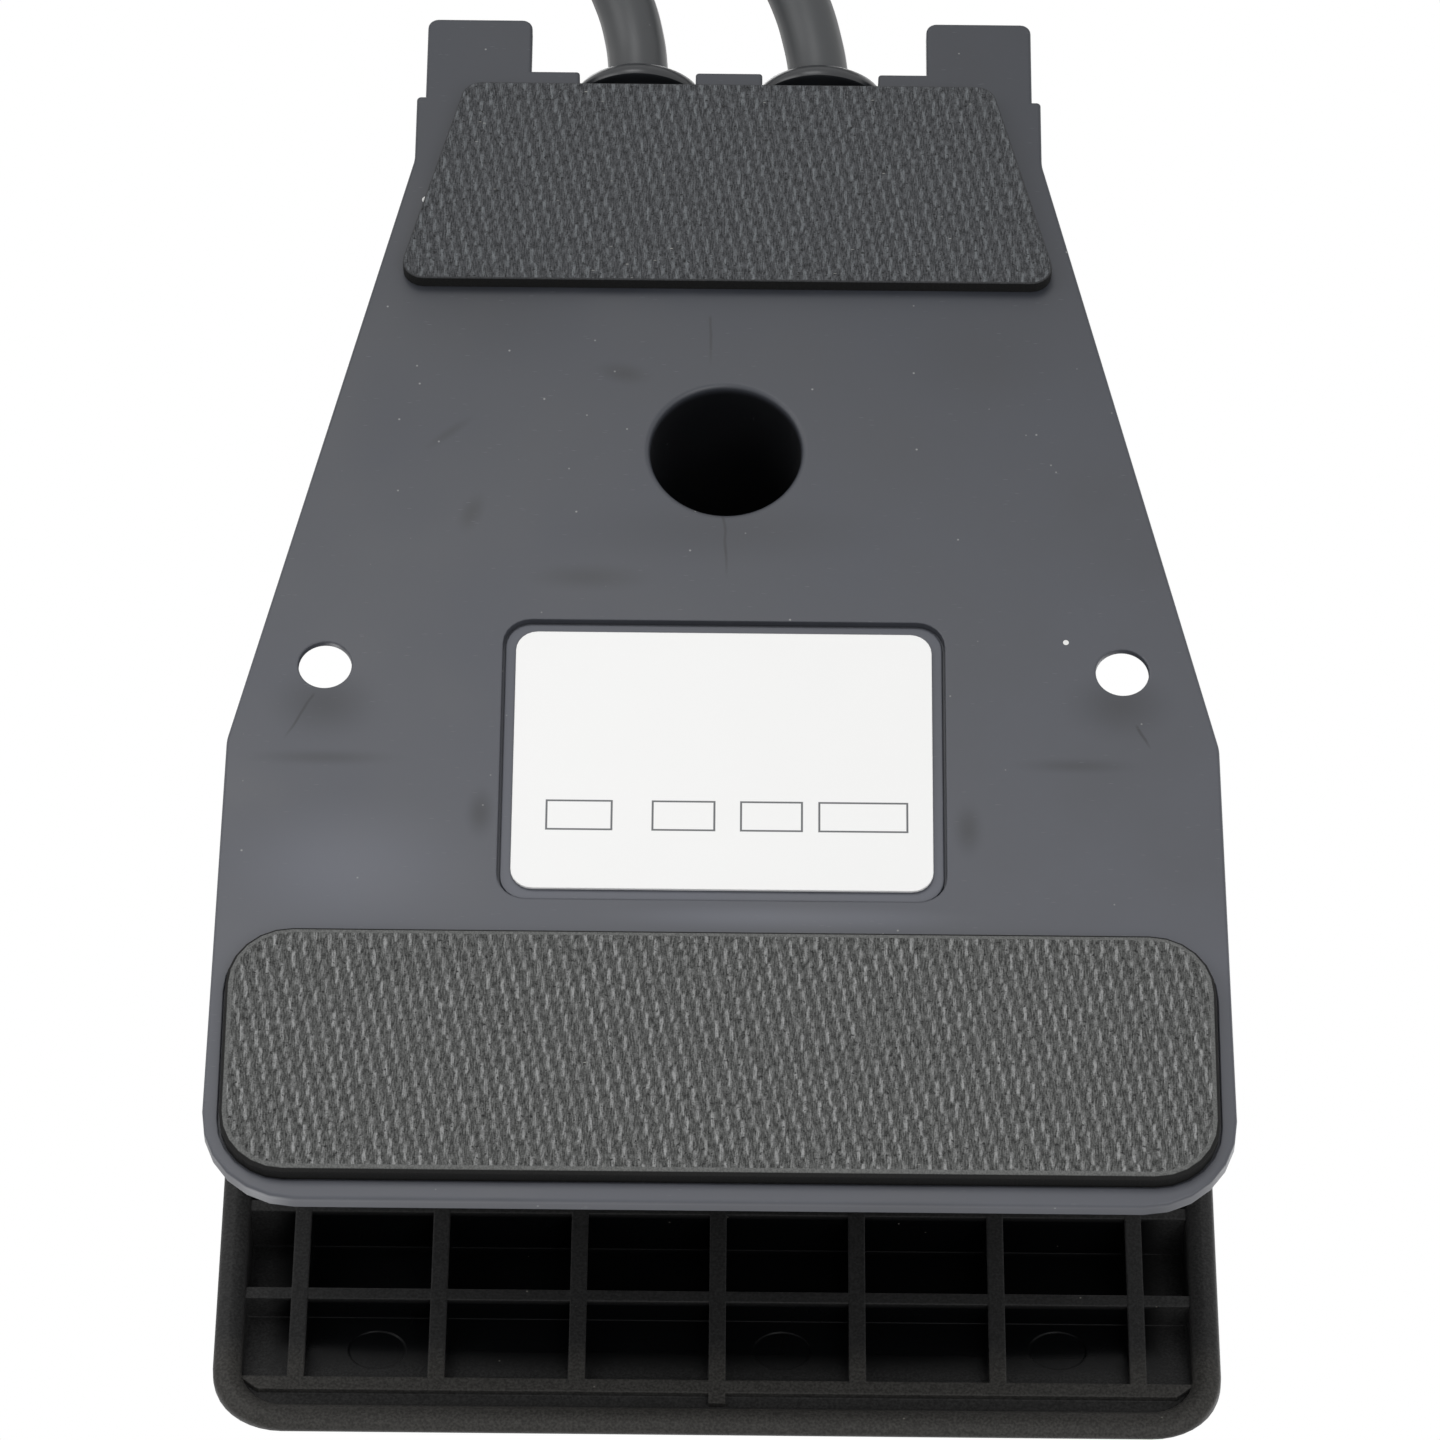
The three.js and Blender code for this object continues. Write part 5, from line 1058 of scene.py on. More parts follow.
# hinge lugs, the sunk place of the mat, and the openings for the posts and the cover
for sign in (1, -1):
    left, right = sorted((sign * (POST_INNER + POST_WALL + 0.5), sign * (POST_OUTER - POST_WALL - 0.5)))
    lug_corners = [(-14, TREADLE_TOP - 1.9, 0), (-5.5, -5.5, 5.2),
                   (5.5, -5.5, 5.2), (5.5, TREADLE_TOP - 1.9, 0)]
    treadle_steps.append(("UNION", side_slab(rounded_outline(lug_corners, 8), left, right, 0.2)))
MAT_CORNERS = [(TOE_HALF - 6, LIP + 40, 3), (TOE_HALF - 6, LIP + 57, 8), (NECK_HALF - 6, NECK_FRONT - 2, 10),
               (NECK_HALF - 6, TAIL - 6, 5)]
MAT_FLOOR = TREADLE_TOP - 1
mat_outline = both_sides(flank(MAT_CORNERS, 8))
treadle_steps += [
    ("DIFFERENCE", slab(mat_outline, MAT_FLOOR, TREADLE_TOP + 2)),
    ("DIFFERENCE", bar(-POST_OUTER - 1, POST_OUTER + 1, TAIL - SKIRT - 3, TAIL + 1, -30, RIB_LEVEL + 1)),
    ("DIFFERENCE", bar(-38, 38, NECK_FRONT - 6, NECK_FRONT + 7.2, -30, RIB_LEVEL)),
]
treadle = carved("treadle_piece", treadle_shell(), *treadle_steps)

# the seat of the return spring and the pad that the plunger bears on, level at rest
to_rest = Matrix.Translation((0, HINGE_Y * MM, HINGE_Z * MM)) @ Matrix.Rotation(REST_TILT, 4, "X")
treadle.data.transform(to_rest)


def rib_line(y, tilt=REST_TILT):
    return HINGE_Z + RIB_LEVEL / math.cos(tilt) + (y - HINGE_Y) * math.tan(tilt)


SPRING_TOP = rib_line(TOWER_Y) + 5.4
SPRING_LOW = TOWER_TOP + 0.3
SPRING_RADIUS, SPRING_WIRE = 6.8, 0.65
PLUNGER_TOP = rib_line(PLUNGER_Y) - 0.4

# black ABS with a spark-eroded skin: glossy where the core formed the inside, grainy and paler
# round the rim, painted paler along the lip's bead as a highlight, with fine dust
TREADLE_BLACK = "#070809"
TREADLE_RIM_SHADE = "#2b2b2b"
TREADLE_LIP_HIGHLIGHT = "#3a3937"
TREADLE_DUST = "#a8a59c"
TREADLE_DUST_STEP, GLOSS_PATCH = 4.2, 12
SPARK_GRAIN = 0.32             # millimetres, drawn coarser than the real grain so that it shows

abs_black, tree = new_material("moulded_abs_black")
place = node(tree, "TexCoord").outputs["Object"]
level = node(tree, "VectorRotate", {
    "Vector": place, "Center": (0, HINGE_Y * MM, HINGE_Z * MM), "Axis": (1, 0, 0), "Angle": -REST_TILT})
spot = node(tree, "SeparateXYZ", {0: level})
grain = node(tree, "TexNoise", {"Vector": place, "Scale": 1000 / SPARK_GRAIN, "Detail": 2.0})
near_rim = node(tree, "MapRange", {
    "Value": spot.outputs["Z"], "From Min": (HINGE_Z + RIB_LEVEL + 1.0) * MM,
    "From Max": (HINGE_Z + RIM + 0.9) * MM})
side_reach = node(tree, "Math", {0: spot.outputs["X"]}, operation="ABSOLUTE")
at_side = node(tree, "MapRange", {"Value": side_reach, "From Min": (TOE_HALF - 9) * MM,
                                  "From Max": (TOE_HALF - 6) * MM})
at_lip = node(tree, "MapRange", {"Value": spot.outputs["Y"], "From Min": (HINGE_Y + LIP + 13) * MM,
                                 "From Max": (HINGE_Y + LIP + 9) * MM})
at_edge = node(tree, "Math", {0: at_side, 1: at_lip}, operation="MAXIMUM")
rim_skin = node(tree, "Math", {0: near_rim, 1: at_edge}, operation="MAXIMUM")
above = node(tree, "MapRange", {"Value": spot.outputs["Z"], "From Min": (HINGE_Z + TREADLE_TOP - 4) * MM,
                                "From Max": (HINGE_Z + TREADLE_TOP - 2.2) * MM})
rim_skin = node(tree, "Math", {0: rim_skin, 1: above}, operation="MAXIMUM")
clouds = node(tree, "TexNoise", {"Vector": place, "Scale": 1000 / GLOSS_PATCH, "Detail": 3.0})
speck = node(tree, "MapRange", {"Value": grain, "From Min": 0.35, "From Max": 0.7,
                                "To Min": 0.7, "To Max": 1.45})
shade = node(tree, "Mix", {0: rim_skin, 6: colour(TREADLE_BLACK), 7: colour(TREADLE_RIM_SHADE)},
             data_type="RGBA").outputs[2]
# painted highlight: the bead along the lip is painted paler, as if lit
lip_highlight = node(tree, "Math", {0: at_lip, 1: near_rim}, operation="MULTIPLY")
shade = node(tree, "Mix", {0: lip_highlight, 6: shade, 7: colour(TREADLE_LIP_HIGHLIGHT)},
             data_type="RGBA").outputs[2]
varied = node(tree, "Mix", {
    0: rim_skin, 2: node(tree, "MapRange", {"Value": clouds, "To Min": 0.9, "To Max": 1.1}), 3: speck})
shade = node(tree, "HueSaturation", {"Color": shade, "Value": varied})
motes = node(tree, "TexVoronoi", {"Vector": place, "Scale": 1000 / TREADLE_DUST_STEP})
mote = node(tree, "MapRange", {"Value": motes.outputs["Distance"], "From Min": 0.035, "From Max": 0.015,
                               "To Max": 0.35})
shade = node(tree, "Mix", {0: mote, 6: shade, 7: colour(TREADLE_DUST)}, data_type="RGBA").outputs[2]
rough = node(tree, "Mix", {
    0: rim_skin, 2: node(tree, "MapRange", {"Value": clouds, "To Min": 0.2, "To Max": 0.32}), 3: 0.5})
grain_depth = node(tree, "MapRange", {"Value": rim_skin, "To Min": 0.06, "To Max": 0.6})
soft_edge = node(tree, "Bevel", {"Radius": 0.28 * MM}, samples=6)
raised = node(tree, "Bump", {"Height": grain, "Strength": grain_depth, "Distance": 0.00007,
                             "Normal": soft_edge})
node(tree, "OutputMaterial", {"Surface": node(tree, "BsdfPrincipled", {
    "Base Color": shade, "Roughness": rough, "Normal": raised, "IOR": 1.5, "Specular IOR Level": 0.14,
})})

well_radius = SPRING_RADIUS + SPRING_WIRE * 2 + 0.8
treadle_seat = carved("treadle_spring_seat", turned(
    [(well_radius + 1.4, SPRING_TOP - 3.7), (well_radius + 1.6, SPRING_TOP - 3.5),
     (well_radius + 1.6, SPRING_TOP + 2.0)], (0, TOWER_Y, 0)),
    ("DIFFERENCE", turned([(well_radius, SPRING_TOP - 6), (well_radius, SPRING_TOP + 0.3)], (0, TOWER_Y, 0))))
finished(treadle_seat, abs_black, "treadle", "treadle_black")
plunger_rest = carved("treadle_plunger_rest", turned(
    [(4.7, rib_line(PLUNGER_Y) + 0.35), (5, rib_line(PLUNGER_Y) + 0.65), (5, rib_line(PLUNGER_Y) + 9.6)],
    (0, PLUNGER_Y, 0)))
finished(plunger_rest, abs_black, "treadle", "treadle_black")
finished(treadle, abs_black, "treadle", "treadle_black", "treadle")

# ---------------------------------------------------------------- tread mat
# A mat of black rubber, compression moulded with bars across it and glued into the treadle's
# sunk top, where it gives the shoe its hold.

MAT_THICK = 1.6
BAR_PROUD, BAR_WIDE, BAR_STEP = 1.1, 3.0, 6.4
BAR_INSET = 1.8
MAT_FOOT = MAT_FLOOR + 0.3
mat_face = MAT_FOOT + MAT_THICK

bar_rows = []
row = LIP + 44
while row + BAR_WIDE < TAIL - 8:
    bar_rows.append(slab(
        [(TOE_HALF, row), (TOE_HALF, row + BAR_WIDE), (-TOE_HALF, row + BAR_WIDE), (-TOE_HALF, row)],
        MAT_FOOT, mat_face + BAR_PROUD, 0, 0.5))
    row += BAR_STEP
mat = carved("tread_mat_piece", bar_rows[0],
             *[("UNION", row_shape) for row_shape in bar_rows[1:]],
             ("INTERSECT", slab(drawn_in(mat_outline, BAR_INSET), MAT_FOOT - 1,
                                mat_face + BAR_PROUD, 0, 0.4)),
             ("UNION", slab(drawn_in(mat_outline, 0.3), MAT_FOOT, mat_face, 0, 0.45)))
mat.data.transform(to_rest)

# styrene rubber, compression moulded: matt black, scuffed paler on the bars by shoes
MAT_BLACK, MAT_WORN = "#212222", "#4a4a48"
SCUFF, MAT_GRAIN = 7, 0.5

tread_rubber, tree = new_material("moulded_tread_rubber")
place = node(tree, "TexCoord").outputs["Object"]
level = node(tree, "VectorRotate", {
    "Vector": place, "Center": (0, HINGE_Y * MM, HINGE_Z * MM), "Axis": (1, 0, 0), "Angle": -REST_TILT})
tall = node(tree, "SeparateXYZ", {0: level}).outputs["Z"]
worn_noise = node(tree, "TexNoise", {"Vector": place, "Scale": 1000 / SCUFF, "Detail": 5.0})
fine = node(tree, "TexNoise", {"Vector": place, "Scale": 1000 / MAT_GRAIN, "Detail": 3.0})
on_bar = node(tree, "MapRange", {"Value": tall, "From Min": (HINGE_Z + mat_face + 0.7) * MM,
                                 "From Max": (HINGE_Z + mat_face + 1.05) * MM})
worn = node(tree, "Math", {
    0: on_bar, 1: node(tree, "MapRange", {"Value": worn_noise, "From Min": 0.42, "From Max": 0.66,
                                          "To Min": 0.15, "To Max": 0.75})}, operation="MULTIPLY")
shade = node(tree, "Mix", {0: worn, 6: colour(MAT_BLACK), 7: colour(MAT_WORN)}, data_type="RGBA").outputs[2]
shade = node(tree, "HueSaturation", {
    "Color": shade, "Value": node(tree, "MapRange", {"Value": fine, "To Min": 0.8, "To Max": 1.2})})
node(tree, "OutputMaterial", {"Surface": node(tree, "BsdfPrincipled", {
    "Base Color": shade, "IOR": 1.5, "Specular IOR Level": 0.35,
    "Roughness": node(tree, "MapRange", {"Value": worn, "To Min": 0.66, "To Max": 0.85}),
    "Normal": node(tree, "Bump", {"Height": fine, "Strength": 0.3, "Distance": 0.00012}),
})})
finished(mat, tread_rubber, "treadle", "pad_rubber", "tread_mat")

# ---------------------------------------------------------------- control cover
# A hood of black ABS with 2 mm walls over the control bay. Its roof falls towards the toe under
# the pressed treadle, with a collar for the plunger, a hole for the tower, and four screw columns.

COVER_FOOT = PARTING + 0.3
COVER_TOP = 45.0
COVER_WALL = 2.0
COVER_REACH = 37               # beyond its sides, for the cuts
COLLAR, COLLAR_BORE, COLLAR_MOUTH = 8.4, 6.4, 7.0
TOWER_HOLE = 11.85
COVER_FRONT, COVER_BACK = REAR - 120.5, REAR - 2
PRESSED = math.radians(16.15)
COLUMN_FOOT = DECK + 4.3
LUG_TOP = COLUMN_FOOT + 12


def roof(y):
    return min(rib_line(y, PRESSED) - 3.2, COVER_TOP)


def cover_plan(inset):
    return plan_outline([(36 - inset, 120.5 - inset, 6 - inset), (36 - inset, 40 + inset, 2),
                         (24.5 - inset, 40 + inset, 0), (24.5 - inset, 2 + inset, 0)])


def cover_side(inset, foot, rounds):
    """Side view, y and z: a level rear part and a roof that falls towards the toe."""
    front, back, drop = COVER_FRONT + inset, COVER_BACK - inset, inset
    ridge = COVER_FRONT + (COVER_TOP - roof(COVER_FRONT)) / math.tan(PRESSED)
    return rounded_outline([(front, foot, 0), (back, foot, 0), (back, COVER_TOP - drop, rounds[0]),
                            (ridge, COVER_TOP - drop, 8), (front, roof(front) - drop, rounds[1])], 8)


def shape_of(made):
    """An object's vertices in millimetres and faces, in place of the object."""
    mesh = made.data
    shape = ([tuple(v.co / MM) for v in mesh.vertices], [tuple(p.vertices) for p in mesh.polygons])
    bpy.data.meshes.remove(made.data)
    return shape


hollow = shape_of(carved("cover_hollow", slab(cover_plan(COVER_WALL), COVER_FOOT - 1, COVER_TOP),
                         ("INTERSECT", side_slab(cover_side(COVER_WALL, COVER_FOOT - 2, (2, 1)),
                                                 -COVER_REACH, COVER_REACH))))
cover_steps = [
    ("INTERSECT", side_slab(cover_side(0, COVER_FOOT - 1, (4, 3)), -COVER_REACH, COVER_REACH)),
    ("DIFFERENCE", hollow),
]
for x, y in COVER_SCREWS:
    in_front = y < COVER_FRONT
    top = LUG_TOP if in_front else roof(y) - 1
    cover_steps.append(("UNION", turned([(4, COLUMN_FOOT), (4, top - 0.4), (3.6, top)], (x, y, 0), sides=48)))
    if in_front:
        cover_steps.append(("UNION", bar(x - 1.2, x + 1.2, y, COVER_FRONT + 1,
                                         COVER_FOOT + 0.6, LUG_TOP - 2)))
    cover_steps.append(("DIFFERENCE", turned([(1.6, COLUMN_FOOT - 1), (1.6, COLUMN_FOOT + 9)],
                                             (x, y, 0), sides=32)))
collar_top = roof(PLUNGER_Y) + 0.4
cover_steps += [
    ("UNION", turned([(COLLAR, collar_top - 4.4), (COLLAR, collar_top - 0.4), (8.0, collar_top)],
                     (0, PLUNGER_Y, 0))),
    ("DIFFERENCE", turned([(COLLAR_BORE, collar_top - 10), (COLLAR_BORE, collar_top - 0.5),
                           (COLLAR_MOUTH, collar_top + 0.2), (COLLAR_MOUTH, collar_top + 6)],
                          (0, PLUNGER_Y, 0))),
    ("DIFFERENCE", turned([(TOWER_HOLE, PARTING), (TOWER_HOLE, COVER_TOP + 2)], (0, TOWER_Y, 0))),
]
for x in CORD_SLOTS:
    cover_steps.append(("DIFFERENCE", turned([(CORD_BORE, REAR - 5), (CORD_BORE, REAR - 1)],
                                             (x, 0, PARTING), "y", 48)))
BUMP_Y = REAR - 114
for x in (-RIB_STEP, RIB_STEP):
    cover_steps.append(("DIFFERENCE", turned([(2.1, roof(BUMP_Y) - 5), (2.1, roof(BUMP_Y) + 5)],
                                             (x, BUMP_Y, 0), sides=32)))
cover = carved("control_cover_piece", slab(cover_plan(0), COVER_FOOT, COVER_TOP + 1, 0.3), *cover_steps)

# ABS, black, spark-eroded: matt and even, a little paler than the treadle, with dust on its roof
COVER_BLACK, COVER_DUST = "#232427", "#8b8a86"
COVER_GRAIN, COVER_CLOUD = 0.35, 15

housing_black, tree = new_material("matt_abs_black")
place = node(tree, "TexCoord").outputs["Object"]
grain = node(tree, "TexNoise", {"Vector": place, "Scale": 1000 / COVER_GRAIN, "Detail": 2.0})
clouds = node(tree, "TexNoise", {"Vector": place, "Scale": 1000 / COVER_CLOUD, "Detail": 4.0})
upward = node(tree, "SeparateXYZ", {0: node(tree, "NewGeometry").outputs["Normal"]}).outputs["Z"]
settled_dust = node(tree, "Math", {
    0: node(tree, "MapRange", {"Value": upward, "From Min": 0.6, "From Max": 1.0, "To Max": 0.22}),
    1: clouds}, operation="MULTIPLY")
shade = node(tree, "Mix", {0: settled_dust, 6: colour(COVER_BLACK), 7: colour(COVER_DUST)},
             data_type="RGBA").outputs[2]
soft_edge = node(tree, "Bevel", {"Radius": 0.4 * MM}, samples=4)
node(tree, "OutputMaterial", {"Surface": node(tree, "BsdfPrincipled", {
    "Base Color": shade, "IOR": 1.5,
    "Roughness": node(tree, "MapRange", {"Value": clouds, "To Min": 0.46, "To Max": 0.6}),
    "Normal": node(tree, "Bump", {"Height": grain, "Strength": 0.4, "Distance": 0.00006,
                                  "Normal": soft_edge}),
})})
finished(cover, housing_black, "base", "cover_black", "control_cover")

# ---------------------------------------------------------------- springs
# Two compression springs wound from round steel wire, with their end turns closed flat: the
# treadle's return spring on the tower, and the plunger's own thinner spring under it.

WIRE_SIDES = 12
WIRE_TURN_POINTS = 36
CLOSED_TURN = 0.8              # turns at each end that lie flat
PITCH_EASE = 0.35              # how softly the pitch opens beside them
RETURN_TURNS, PLUNGER_TURNS = 5, 8
PLUNGER_SPRING_RADIUS, PLUNGER_WIRE = 2.85, 0.35
PLUNGER_SPRING_LOW, PLUNGER_SPRING_TOP = DECK + 0.3, PLUNGER_TOP - 4.3


def wound_spring(radius, wire, turns, x, y, low, high):
    """A round wire along a helix whose two end turns lie flat, as rings joined into a tube."""
    steps = turns * WIRE_TURN_POINTS
    flat = CLOSED_TURN / turns
    rise = high - low - 4 * wire
    middles = []
    for i in range(steps + 1):
        turn = 2 * math.pi * i / WIRE_TURN_POINTS
        passed = i / steps
        share = min(max((passed - flat / 2) / (1 - flat), 0), 1)
        share -= PITCH_EASE * flat * math.sin(2 * math.pi * share)
        lapped = min(1, passed / flat) + max(0, 1 - (1 - passed) / flat)
        height = low + wire + wire * lapped + rise * share
        middles.append(Vector((x + radius * math.cos(turn), y + radius * math.sin(turn), height)))
    rings = []
    for i, middle in enumerate(middles):
        along = (middles[min(i + 1, steps)] - middles[max(i - 1, 0)]).normalized()
        out = Vector((middle.x - x, middle.y - y, 0)).normalized()
        across = along.cross(out).normalized()
        rings.append([tuple(middle + (out * math.cos(a) + across * math.sin(a)) * wire)
                      for a in (2 * math.pi * k / WIRE_SIDES for k in range(WIRE_SIDES))])
    return stacked(rings)


# spring steel, drawn and zinc plated: bright grey with fine lengthways die lines and a dull film
WIRE_GREY = "#b3b5b8"
FILM_PATCH, DIE_LINE = 3, 0.12

spring_steel, tree = new_material("plated_spring_steel")
place = node(tree, "TexCoord").outputs["Object"]
film = node(tree, "TexNoise", {"Vector": place, "Scale": 1000 / FILM_PATCH, "Detail": 4.0})
die_lines = node(tree, "TexNoise", {"Vector": place, "Scale": 1000 / DIE_LINE, "Detail": 2.0})
node(tree, "OutputMaterial", {"Surface": node(tree, "BsdfPrincipled", {
    "Base Color": node(tree, "HueSaturation", {
        "Color": colour(WIRE_GREY),
        "Value": node(tree, "MapRange", {"Value": film, "To Min": 0.75, "To Max": 1.1})}),
    "Metallic": 1.0,
    "Roughness": node(tree, "MapRange", {"Value": film, "To Min": 0.22, "To Max": 0.42}),
    "Normal": node(tree, "Bump", {"Height": die_lines, "Strength": 0.12, "Distance": 0.00003}),
})})

for name, joint, anchor_z, keep, shape in (
        ("return_spring", "treadle_hinge", SPRING_LOW, 0.53,
         wound_spring(SPRING_RADIUS, SPRING_WIRE, RETURN_TURNS, 0, TOWER_Y, SPRING_LOW, SPRING_TOP)),
        ("plunger_spring", "plunger_slide", PLUNGER_SPRING_LOW, 0.58,
         wound_spring(PLUNGER_SPRING_RADIUS, PLUNGER_WIRE, PLUNGER_TURNS, 0, PLUNGER_Y,
                      PLUNGER_SPRING_LOW, PLUNGER_SPRING_TOP))):
    spring = mesh_object(name + "_piece", shape)
    finished(spring, spring_steel, "base", "steel", name)
    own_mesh(spring)

# ---------------------------------------------------------------- plug and socket
# A wall plug and the motor's socket, each a grip of soft black vinyl moulded round its cord with
# a slotted strain relief. They lie on their coils. Blades, pin and contacts are the CAD's own.

PLUG_LOW, PLUG_HIGH, PLUG_AXIS = 17.3, 33.3, 25.0
RELIEF, GRIP, GRIP_TAPER = 20.0, 30.0, 14.0
GRIP_HALF, GRIP_WAIST = 12.5, 7.0
BLADE_AT, BLADE_HALF, BLADE_THICK, BLADE_DROP = 6.35, 3.2, 1.5, 1.4
PIN_RADIUS, PIN_RISE = 2.4, 4.2


def moulded_end(tip, depth, margin):
    """The grip, its strain relief with slots, finger grooves, and the holes in its face."""
    x, y = tip[0], tip[1]
    waist, face = x - RELIEF, x - RELIEF - GRIP
    shoulder = face + GRIP_TAPER
    grip = rounded_outline([
        (face, y - GRIP_HALF, 3), (shoulder, y - GRIP_HALF, 5), (waist, y - GRIP_WAIST, 3),
        (waist, y + GRIP_WAIST, 3), (shoulder, y + GRIP_HALF, 5), (face, y + GRIP_HALF, 3)], 6)
    profile = [(7.0, waist - 2)]
    for k in range(5):
        start = waist + 1.6 + 3.6 * k
        outer = 7.0 - 2.0 * (start - waist) / RELIEF
        profile += [(outer, start), (outer - 1.1, start + 0.25),
                    (outer - 1.2, start + 1.4), (outer - 0.15, start + 1.65)]
    profile += [(5.0, x - 1.1), (4.7, x - 0.7), (4.3, x - 0.6)]
    steps = [("UNION", turned(profile, (0, y, PLUG_AXIS), "x", 48))]
    for side in (-1, 1):
        for k in range(4):
            groove_x = shoulder + 1.5 - 3.4 * k
            edge = y + side * (GRIP_HALF + 0.9)
            steps.append(("DIFFERENCE", turned([(1.5, PLUG_LOW + 3.5), (1.5, PLUG_HIGH - 3.5)],
                                               (groove_x, edge, 0), sides=24)))
    blade_z = PLUG_AXIS - BLADE_DROP
    for at in (-BLADE_AT, BLADE_AT):
        steps.append(("DIFFERENCE", bar(face - 1, face + depth, y + at - BLADE_THICK / 2 - margin,
                                        y + at + BLADE_THICK / 2 + margin,
                                        blade_z - BLADE_HALF - margin, blade_z + BLADE_HALF + margin)))
    steps.append(("DIFFERENCE", turned([(PIN_RADIUS + margin, face - 1), (PIN_RADIUS + margin, face + depth)],
                                       (0, y, PLUG_AXIS + PIN_RISE), "x", 32)))
    return slab(grip, PLUG_LOW, PLUG_HIGH, 2.2, 2.2), steps


for name, tip, depth, margin in (("plug_body", SUPPLY_TAIL[-1], 3.3, 0.3),
                                 ("socket_body", MOTOR_TAIL[-1], 12, 0.4)):
    grip_shape, grip_steps = moulded_end(tip, depth, margin)
    moulded = carved(name + "_piece", grip_shape, *grip_steps)
    finished(moulded, soft_black, "base", "cord_rubber", name)

# ---------------------------------------------------------------- coil ties
# A strap of black nylon hook-and-loop tape round each coil's turns, 10 mm wide, wrapped tight
# with its end pressed flat.

TIE_WIDE, TIE_THICK = 10.0, 1.2
TAPE_WEAVE = 2.2               # of three threads, since one alone is too fine to show
TIE_TURN = math.radians(135)
TIE_ROUND = 3.8                # inside corner, half a cord's thickness
TIE_LOOSE = 0.3
COIL_LOW, COIL_HIGH = 1.8, 17.0


def tie_loop(near, far, grow):
    """Side view of a strap round a coil's turns: distance from the coil's middle, and height."""
    wide, tall = far - near + 2 * grow, COIL_HIGH - COIL_LOW + 2 * grow
    return rounded_box(wide, tall, TIE_ROUND + grow, (near + far) / 2, (COIL_LOW + COIL_HIGH) / 2, 8)


# nylon tape, woven and brushed: soft black with fine crossing threads and a fluffy sheen
TAPE_BLACK, TAPE_THREAD = "#131314", "#333436"

tape, tree = new_material("woven_nylon_tape")
place = node(tree, "TexCoord").outputs["Object"]
threads = [node(tree, "TexWave", {"Vector": place, "Scale": 1000 / TAPE_WEAVE, "Distortion": 1.0},
                bands_direction=way) for way in ("X", "Z")]
weave = node(tree, "Math", {0: threads[0], 1: threads[1]}, operation="MAXIMUM")
node(tree, "OutputMaterial", {"Surface": node(tree, "BsdfPrincipled", {
    "Base Color": node(tree, "Mix", {0: weave, 6: colour(TAPE_BLACK), 7: colour(TAPE_THREAD)},
                       data_type="RGBA").outputs[2],
    "Roughness": 0.8, "Sheen Weight": 0.4, "Sheen Roughness": 0.5,
    "Normal": node(tree, "Bump", {"Height": weave, "Strength": 0.5, "Distance": 0.0001}),
})})

for name, coil in (("supply_coil_tie", SUPPLY_COIL), ("motor_coil_tie", MOTOR_COIL)):
    near, far = min(coil["radii"]) - CORD_WIDTH / 2, max(coil["radii"]) + CORD_WIDTH / 2
    around = side_slab(tie_loop(near, far, TIE_LOOSE + TIE_THICK), -TIE_WIDE / 2, TIE_WIDE / 2, 0.3)
    strap = carved(name + "_piece", around,
                   ("DIFFERENCE", side_slab(tie_loop(near, far, 0.25), -TIE_WIDE, TIE_WIDE)))
    middle = Vector((*coil["middle"], 0)) * MM
    strap.data.transform(Matrix.Translation(middle) @ Matrix.Rotation(TIE_TURN, 4, "Z"))
    finished(strap, tape, "base", "cover_black", name)

# ---------------------------------------------------------------- hardware and circuit
# The small parts keep their CAD solids: turned pins, screws, contacts, the plunger, the board
# and what stands on it, each in the finish of its own material.

DRIFT, FINE_SKIN = 5, 0.3      # millimetres


def speckled(name, base, low, high, **shader):
    """A material whose tone drifts between two strengths, with a fine uneven skin and soft edges."""
    material, tree = new_material(name)
    place = node(tree, "TexCoord").outputs["Object"]
    drift = node(tree, "TexNoise", {"Vector": place, "Scale": 1000 / DRIFT, "Detail": 4.0})
    skin = node(tree, "TexNoise", {"Vector": place, "Scale": 1000 / FINE_SKIN, "Detail": 2.0})
    tone = node(tree, "HueSaturation", {
        "Color": colour(base),
        "Value": node(tree, "MapRange", {"Value": drift, "To Min": low, "To Max": high})})
    edge = node(tree, "Bevel", {"Radius": 0.3 * MM}, samples=4)
    raised = node(tree, "Bump", {"Height": skin, "Strength": 0.2, "Distance": 0.00005, "Normal": edge})
    sockets = {socket.replace("_", " "): value for socket, value in shader.items()}
    node(tree, "OutputMaterial", {"Surface": node(tree, "BsdfPrincipled", {
        "Base Color": tone, "Normal": raised, **sockets})})
    return material


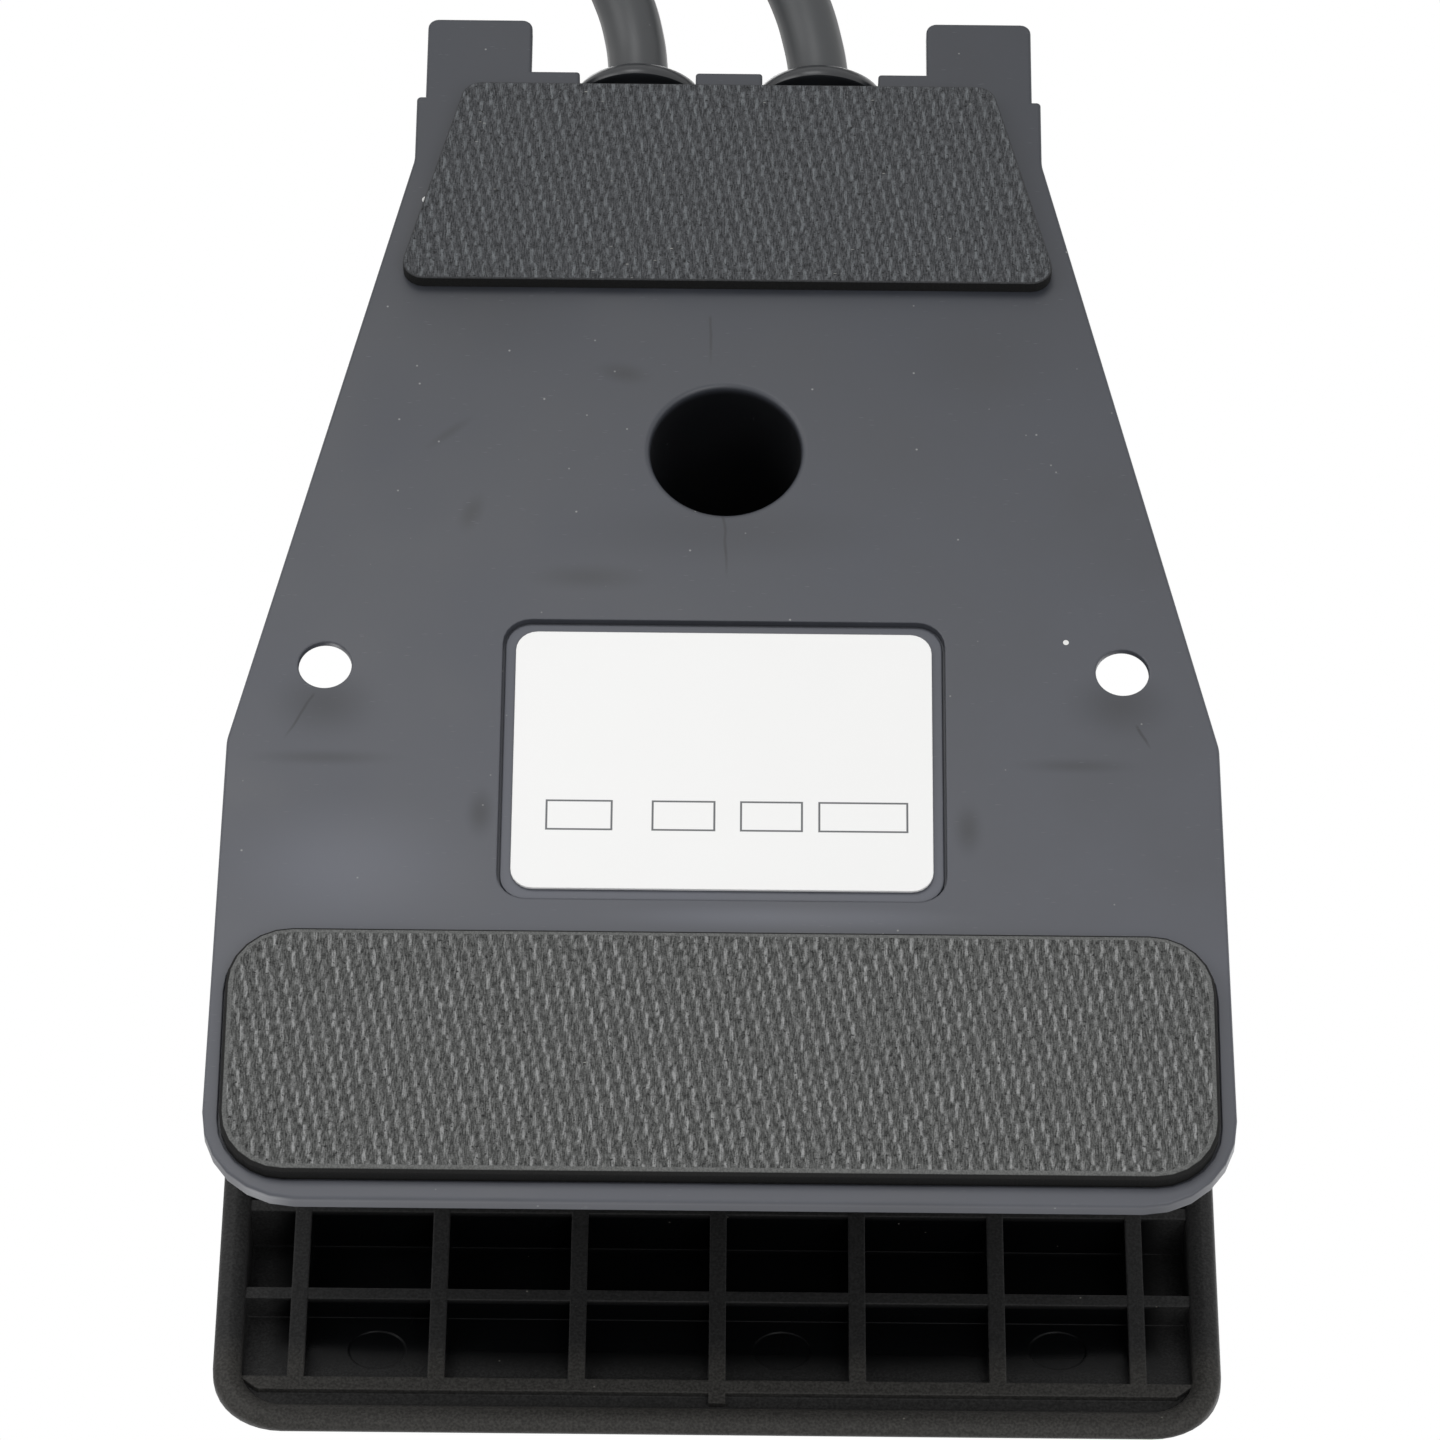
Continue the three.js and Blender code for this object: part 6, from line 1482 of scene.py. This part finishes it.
FINISHES = {
    # bright, slightly clouded
    speckled("plated_steel", "#b9bbbe", 0.85, 1.08, Metallic=1.0, Roughness=0.3): [
        "hinge_pin_left", "hinge_pin_right", "cover_screw_front_left", "cover_screw_front_right",
        "cover_screw_rear_left", "cover_screw_rear_right", "cord_clamp_screw"],
    # warm and lightly tarnished
    speckled("rolled_brass", "#c9a45c", 0.8, 1.08, Metallic=1.0, Roughness=0.3): [
        "plug_blade_left", "plug_blade_right", "plug_ground_pin", "socket_contact_left",
        "socket_contact_right", "terminal_screw_1", "terminal_screw_2", "terminal_screw_3", "wiper_arm"],
    # pale with a satin bloom
    speckled("extruded_aluminium", "#c4c6c9", 0.9, 1.05, Metallic=1.0, Roughness=0.38): ["heat_sink"],
    # milky, waxy and a little translucent
    speckled("natural_nylon", "#dcd9cf", 0.94, 1.03, Roughness=0.4, IOR=1.53, Subsurface_Weight=0.15): [
        "plunger", "terminal_block"],
    # green lacquer with a gloss
    speckled("lacquered_glass_epoxy", "#245a37", 0.85, 1.1, Roughness=0.25, IOR=1.5): ["circuit_board"],
    # dense brown-black, dull
    speckled("phenolic_resin", "#26211f", 0.85, 1.15, Roughness=0.42, IOR=1.55): ["potentiometer", "triac"],
    # warm, with the gloss of its enamel
    speckled("enamelled_copper", "#a9602f", 0.8, 1.15, Metallic=1.0, Roughness=0.35): ["choke"],
    # glossy ochre
    speckled("polyester_film", "#c99b34", 0.92, 1.06, Roughness=0.22, IOR=1.55): ["film_capacitor"],
    # smooth and even, in the three wire colours
    speckled("black_vinyl_insulation", "#1c1c1d", 0.85, 1.15, Roughness=0.36, IOR=1.52): [
        "line_lead", "board_lead"],
    speckled("white_vinyl_insulation", "#e6e4de", 0.94, 1.03, Roughness=0.36, IOR=1.52): ["motor_lead"],
    speckled("green_vinyl_insulation", "#2c7d46", 0.88, 1.1, Roughness=0.36, IOR=1.52): ["ground_lead"],
    # the same rubber and ABS as the mat and the cover
    tread_rubber: ["bump_stop_left", "bump_stop_right"],
    housing_black: ["cord_clamp"],
}
for material, names in FINISHES.items():
    for name in names:
        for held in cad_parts[name].material_slots:
            held.material = material
